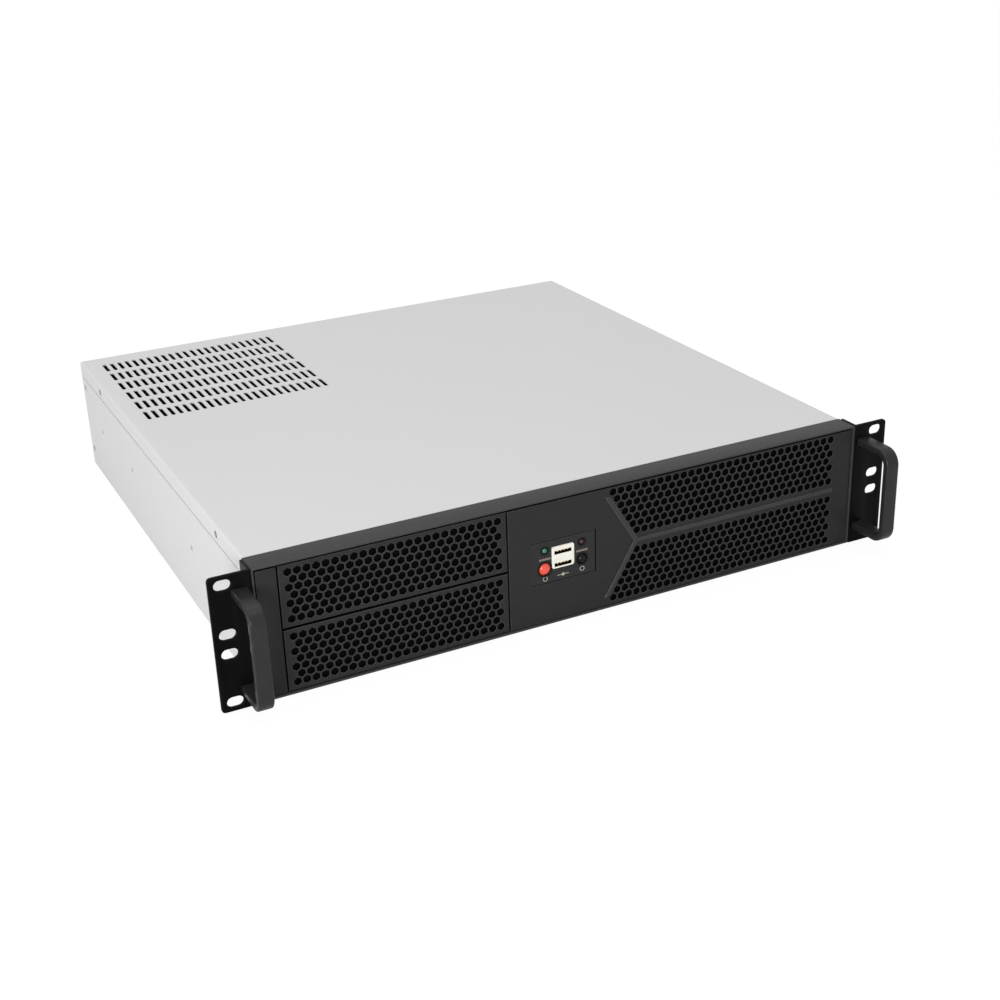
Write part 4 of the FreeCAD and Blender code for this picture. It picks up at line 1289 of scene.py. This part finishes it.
def camera_axes(studio):
    """Right, up and forward of the camera from its yaw, pitch and roll."""
    level = math.cos(studio.pitch)
    forward = Vector((math.sin(studio.yaw) * level, math.cos(studio.yaw) * level, -math.sin(studio.pitch)))
    right = Vector((math.cos(studio.yaw), -math.sin(studio.yaw), 0.0))
    up = right.cross(forward)
    rolled_right = right * math.cos(studio.roll) + up * math.sin(studio.roll)
    rolled_up = up * math.cos(studio.roll) - right * math.sin(studio.roll)
    return rolled_right, rolled_up, forward


def add_camera(studio):
    camera = bpy.data.cameras.new("view")
    camera.lens = studio.lens
    camera.sensor_width = 36.0
    camera.clip_start = 0.01
    obj = placed("view", camera)
    right, up, forward = camera_axes(studio)
    turn = Matrix((right, up, -forward)).transposed().to_4x4()
    obj.matrix_world = Matrix.Translation(studio.place) @ turn
    bpy.context.scene.camera = obj


def add_lamp(name, place, target, size, power):
    lamp = bpy.data.lights.new(name, "AREA")
    lamp.shape = "RECTANGLE"
    lamp.size, lamp.size_y = size
    lamp.energy = power
    obj = placed(name, lamp)
    obj.location = place
    aim = Vector(target) - Vector(place)
    obj.rotation_euler = aim.to_track_quat("-Z", "Y").to_euler()


def add_world(ambient):
    """Even light, with a white background for the camera."""
    world = bpy.data.worlds.new("studio")
    bpy.context.scene.world = world
    world.use_nodes = True
    maker = NodeMaker(world.node_tree)
    background = world.node_tree.nodes["Background"].inputs
    background["Color"].default_value = (1.0, 1.0, 1.0, 1.0)
    camera_ray = maker.source("ShaderNodeLightPath", "Is Camera Ray")
    maker.feed(background["Strength"], maker.calc("MULTIPLY_ADD", camera_ray, 1.0 - ambient, ambient))


def stage_card(name, x, y, z, material_name, shade):
    """Level stage piece whose shader is made by shade in its material's tree."""
    bm = bmesh.new()
    bm.faces.new(loop(bm, [(x[0], y[0], z), (x[1], y[0], z), (x[1], y[1], z), (x[0], y[1], z)]))
    card = placed(name, mesh_from(name, bm))
    material = bpy.data.materials.new(material_name)
    material.use_nodes = True
    material.node_tree.nodes.clear()
    leave = material.node_tree.nodes.new("ShaderNodeOutputMaterial")
    maker = NodeMaker(material.node_tree)
    maker.feed(leave.inputs["Surface"], shade(maker))
    card.data.materials.append(material)
    card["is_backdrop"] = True


def floor_shade(maker):
    """Mostly a glow for the camera, and a plain pale surface for light."""
    share = maker.times(maker.source("ShaderNodeLightPath", "Is Camera Ray"), FLOOR_GLOW_SHARE)
    pale = maker.put("ShaderNodeBsdfDiffuse", FLOOR_WHITE)
    glow = maker.put("ShaderNodeEmission", named={"Strength": FLOOR_GLOW})
    return maker.put("ShaderNodeMixShader", share, pale, glow)


def one_way_shade(maker):
    """Black for the camera on the upper side, and clear otherwise: painted shade of the case's inside."""
    camera_ray = maker.source("ShaderNodeLightPath", "Is Camera Ray")
    under = maker.source("ShaderNodeNewGeometry", "Backfacing")
    shown = maker.put("ShaderNodeMath", camera_ray, under, operation="SUBTRACT", use_clamp=True)
    clear = maker.put("ShaderNodeBsdfTransparent")
    return maker.put("ShaderNodeMixShader", shown, clear, maker.put("ShaderNodeBsdfDiffuse", VENT_SHADE_BLACK))


def add_floor():
    """Pale floor that looks white and keeps a soft shadow."""
    reach = (-FLOOR_SIZE, FLOOR_SIZE)
    stage_card("floor", reach, reach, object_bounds()[0][2], "pale_floor", floor_shade)


def add_vent_shade_card(lid):
    """Black card under the lid's vents, seen only from above: painted shade, so that the slots show a dark
    inside.
    """
    low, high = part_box("top_cover")
    margin = 3.0 * MM
    clear = 0.4 * MM
    left = low.x + lid.first_x - margin
    right = left + (lid.columns - 1) * lid.pitch_x + 2 * margin
    rear = high.y - lid.first_y + lid.slot_length / 2 + margin
    front = rear - (lid.rows - 1) * lid.pitch_y - lid.slot_length - 2 * margin
    under_lid = high.z - lid.sheet - clear
    stage_card("vent_shade_card", (left, right), (front, rear), under_lid, "one_way_painted_shade", one_way_shade)


class RACK_OT_studio(bpy.types.Operator):
    """Camera, soft light, pale floor, a black card of painted shade under the vents, and plain view settings
    """

    bl_idname = "rack.studio"
    bl_label = "Studio"

    def execute(self, context):
        studio = context.scene.rack_studio
        context.scene.view_settings.view_transform = "Standard"
        add_camera(studio)
        add_world(studio.ambient)
        add_floor()
        add_vent_shade_card(context.scene.rack_lid)
        for name, place, target, size, share in LAMPS:
            add_lamp(name, place, target, size, studio.key * share)
        return {"FINISHED"}


# ---------------------------------------------------------------- add-on

OPERATORS = (RACK_OT_finishes, RACK_OT_lid, RACK_OT_moulding, RACK_OT_bay_covers, RACK_OT_handles,
             RACK_OT_shell, RACK_OT_controls, RACK_OT_screws, RACK_OT_studio)


class RACK_PT_panel(bpy.types.Panel):
    """All steps of the case's finish"""

    bl_label = "Rack Case"
    bl_idname = "RACK_PT_panel"
    bl_space_type = "VIEW_3D"
    bl_region_type = "UI"
    bl_category = "Rack Case"

    def draw(self, context):
        for operator in OPERATORS:
            self.layout.operator(operator.bl_idname)
        for label in SETTINGS:
            group = getattr(context.scene, label)
            column = self.layout.column(align=True)
            for item in group.bl_rna.properties:
                if item.identifier not in ("rna_type", "name"):
                    column.prop(group, item.identifier)


def register():
    for group in SETTINGS.values():
        bpy.utils.register_class(group)
    for label, group in SETTINGS.items():
        setattr(bpy.types.Scene, label, PointerProperty(type=group))
    for operator in OPERATORS:
        bpy.utils.register_class(operator)
    bpy.utils.register_class(RACK_PT_panel)


def unregister():
    bpy.utils.unregister_class(RACK_PT_panel)
    for operator in reversed(OPERATORS):
        bpy.utils.unregister_class(operator)
    for label in SETTINGS:
        delattr(bpy.types.Scene, label)
    for group in SETTINGS.values():
        bpy.utils.unregister_class(group)


def main():
    register()
    bpy.ops.rack.finishes()
    bpy.ops.rack.lid()
    bpy.ops.rack.moulding()
    bpy.ops.rack.bay_covers()
    bpy.ops.rack.handles()
    bpy.ops.rack.shell()
    bpy.ops.rack.controls()
    bpy.ops.rack.screws()
    bpy.ops.rack.studio()


if __name__ == "__main__":
    main()
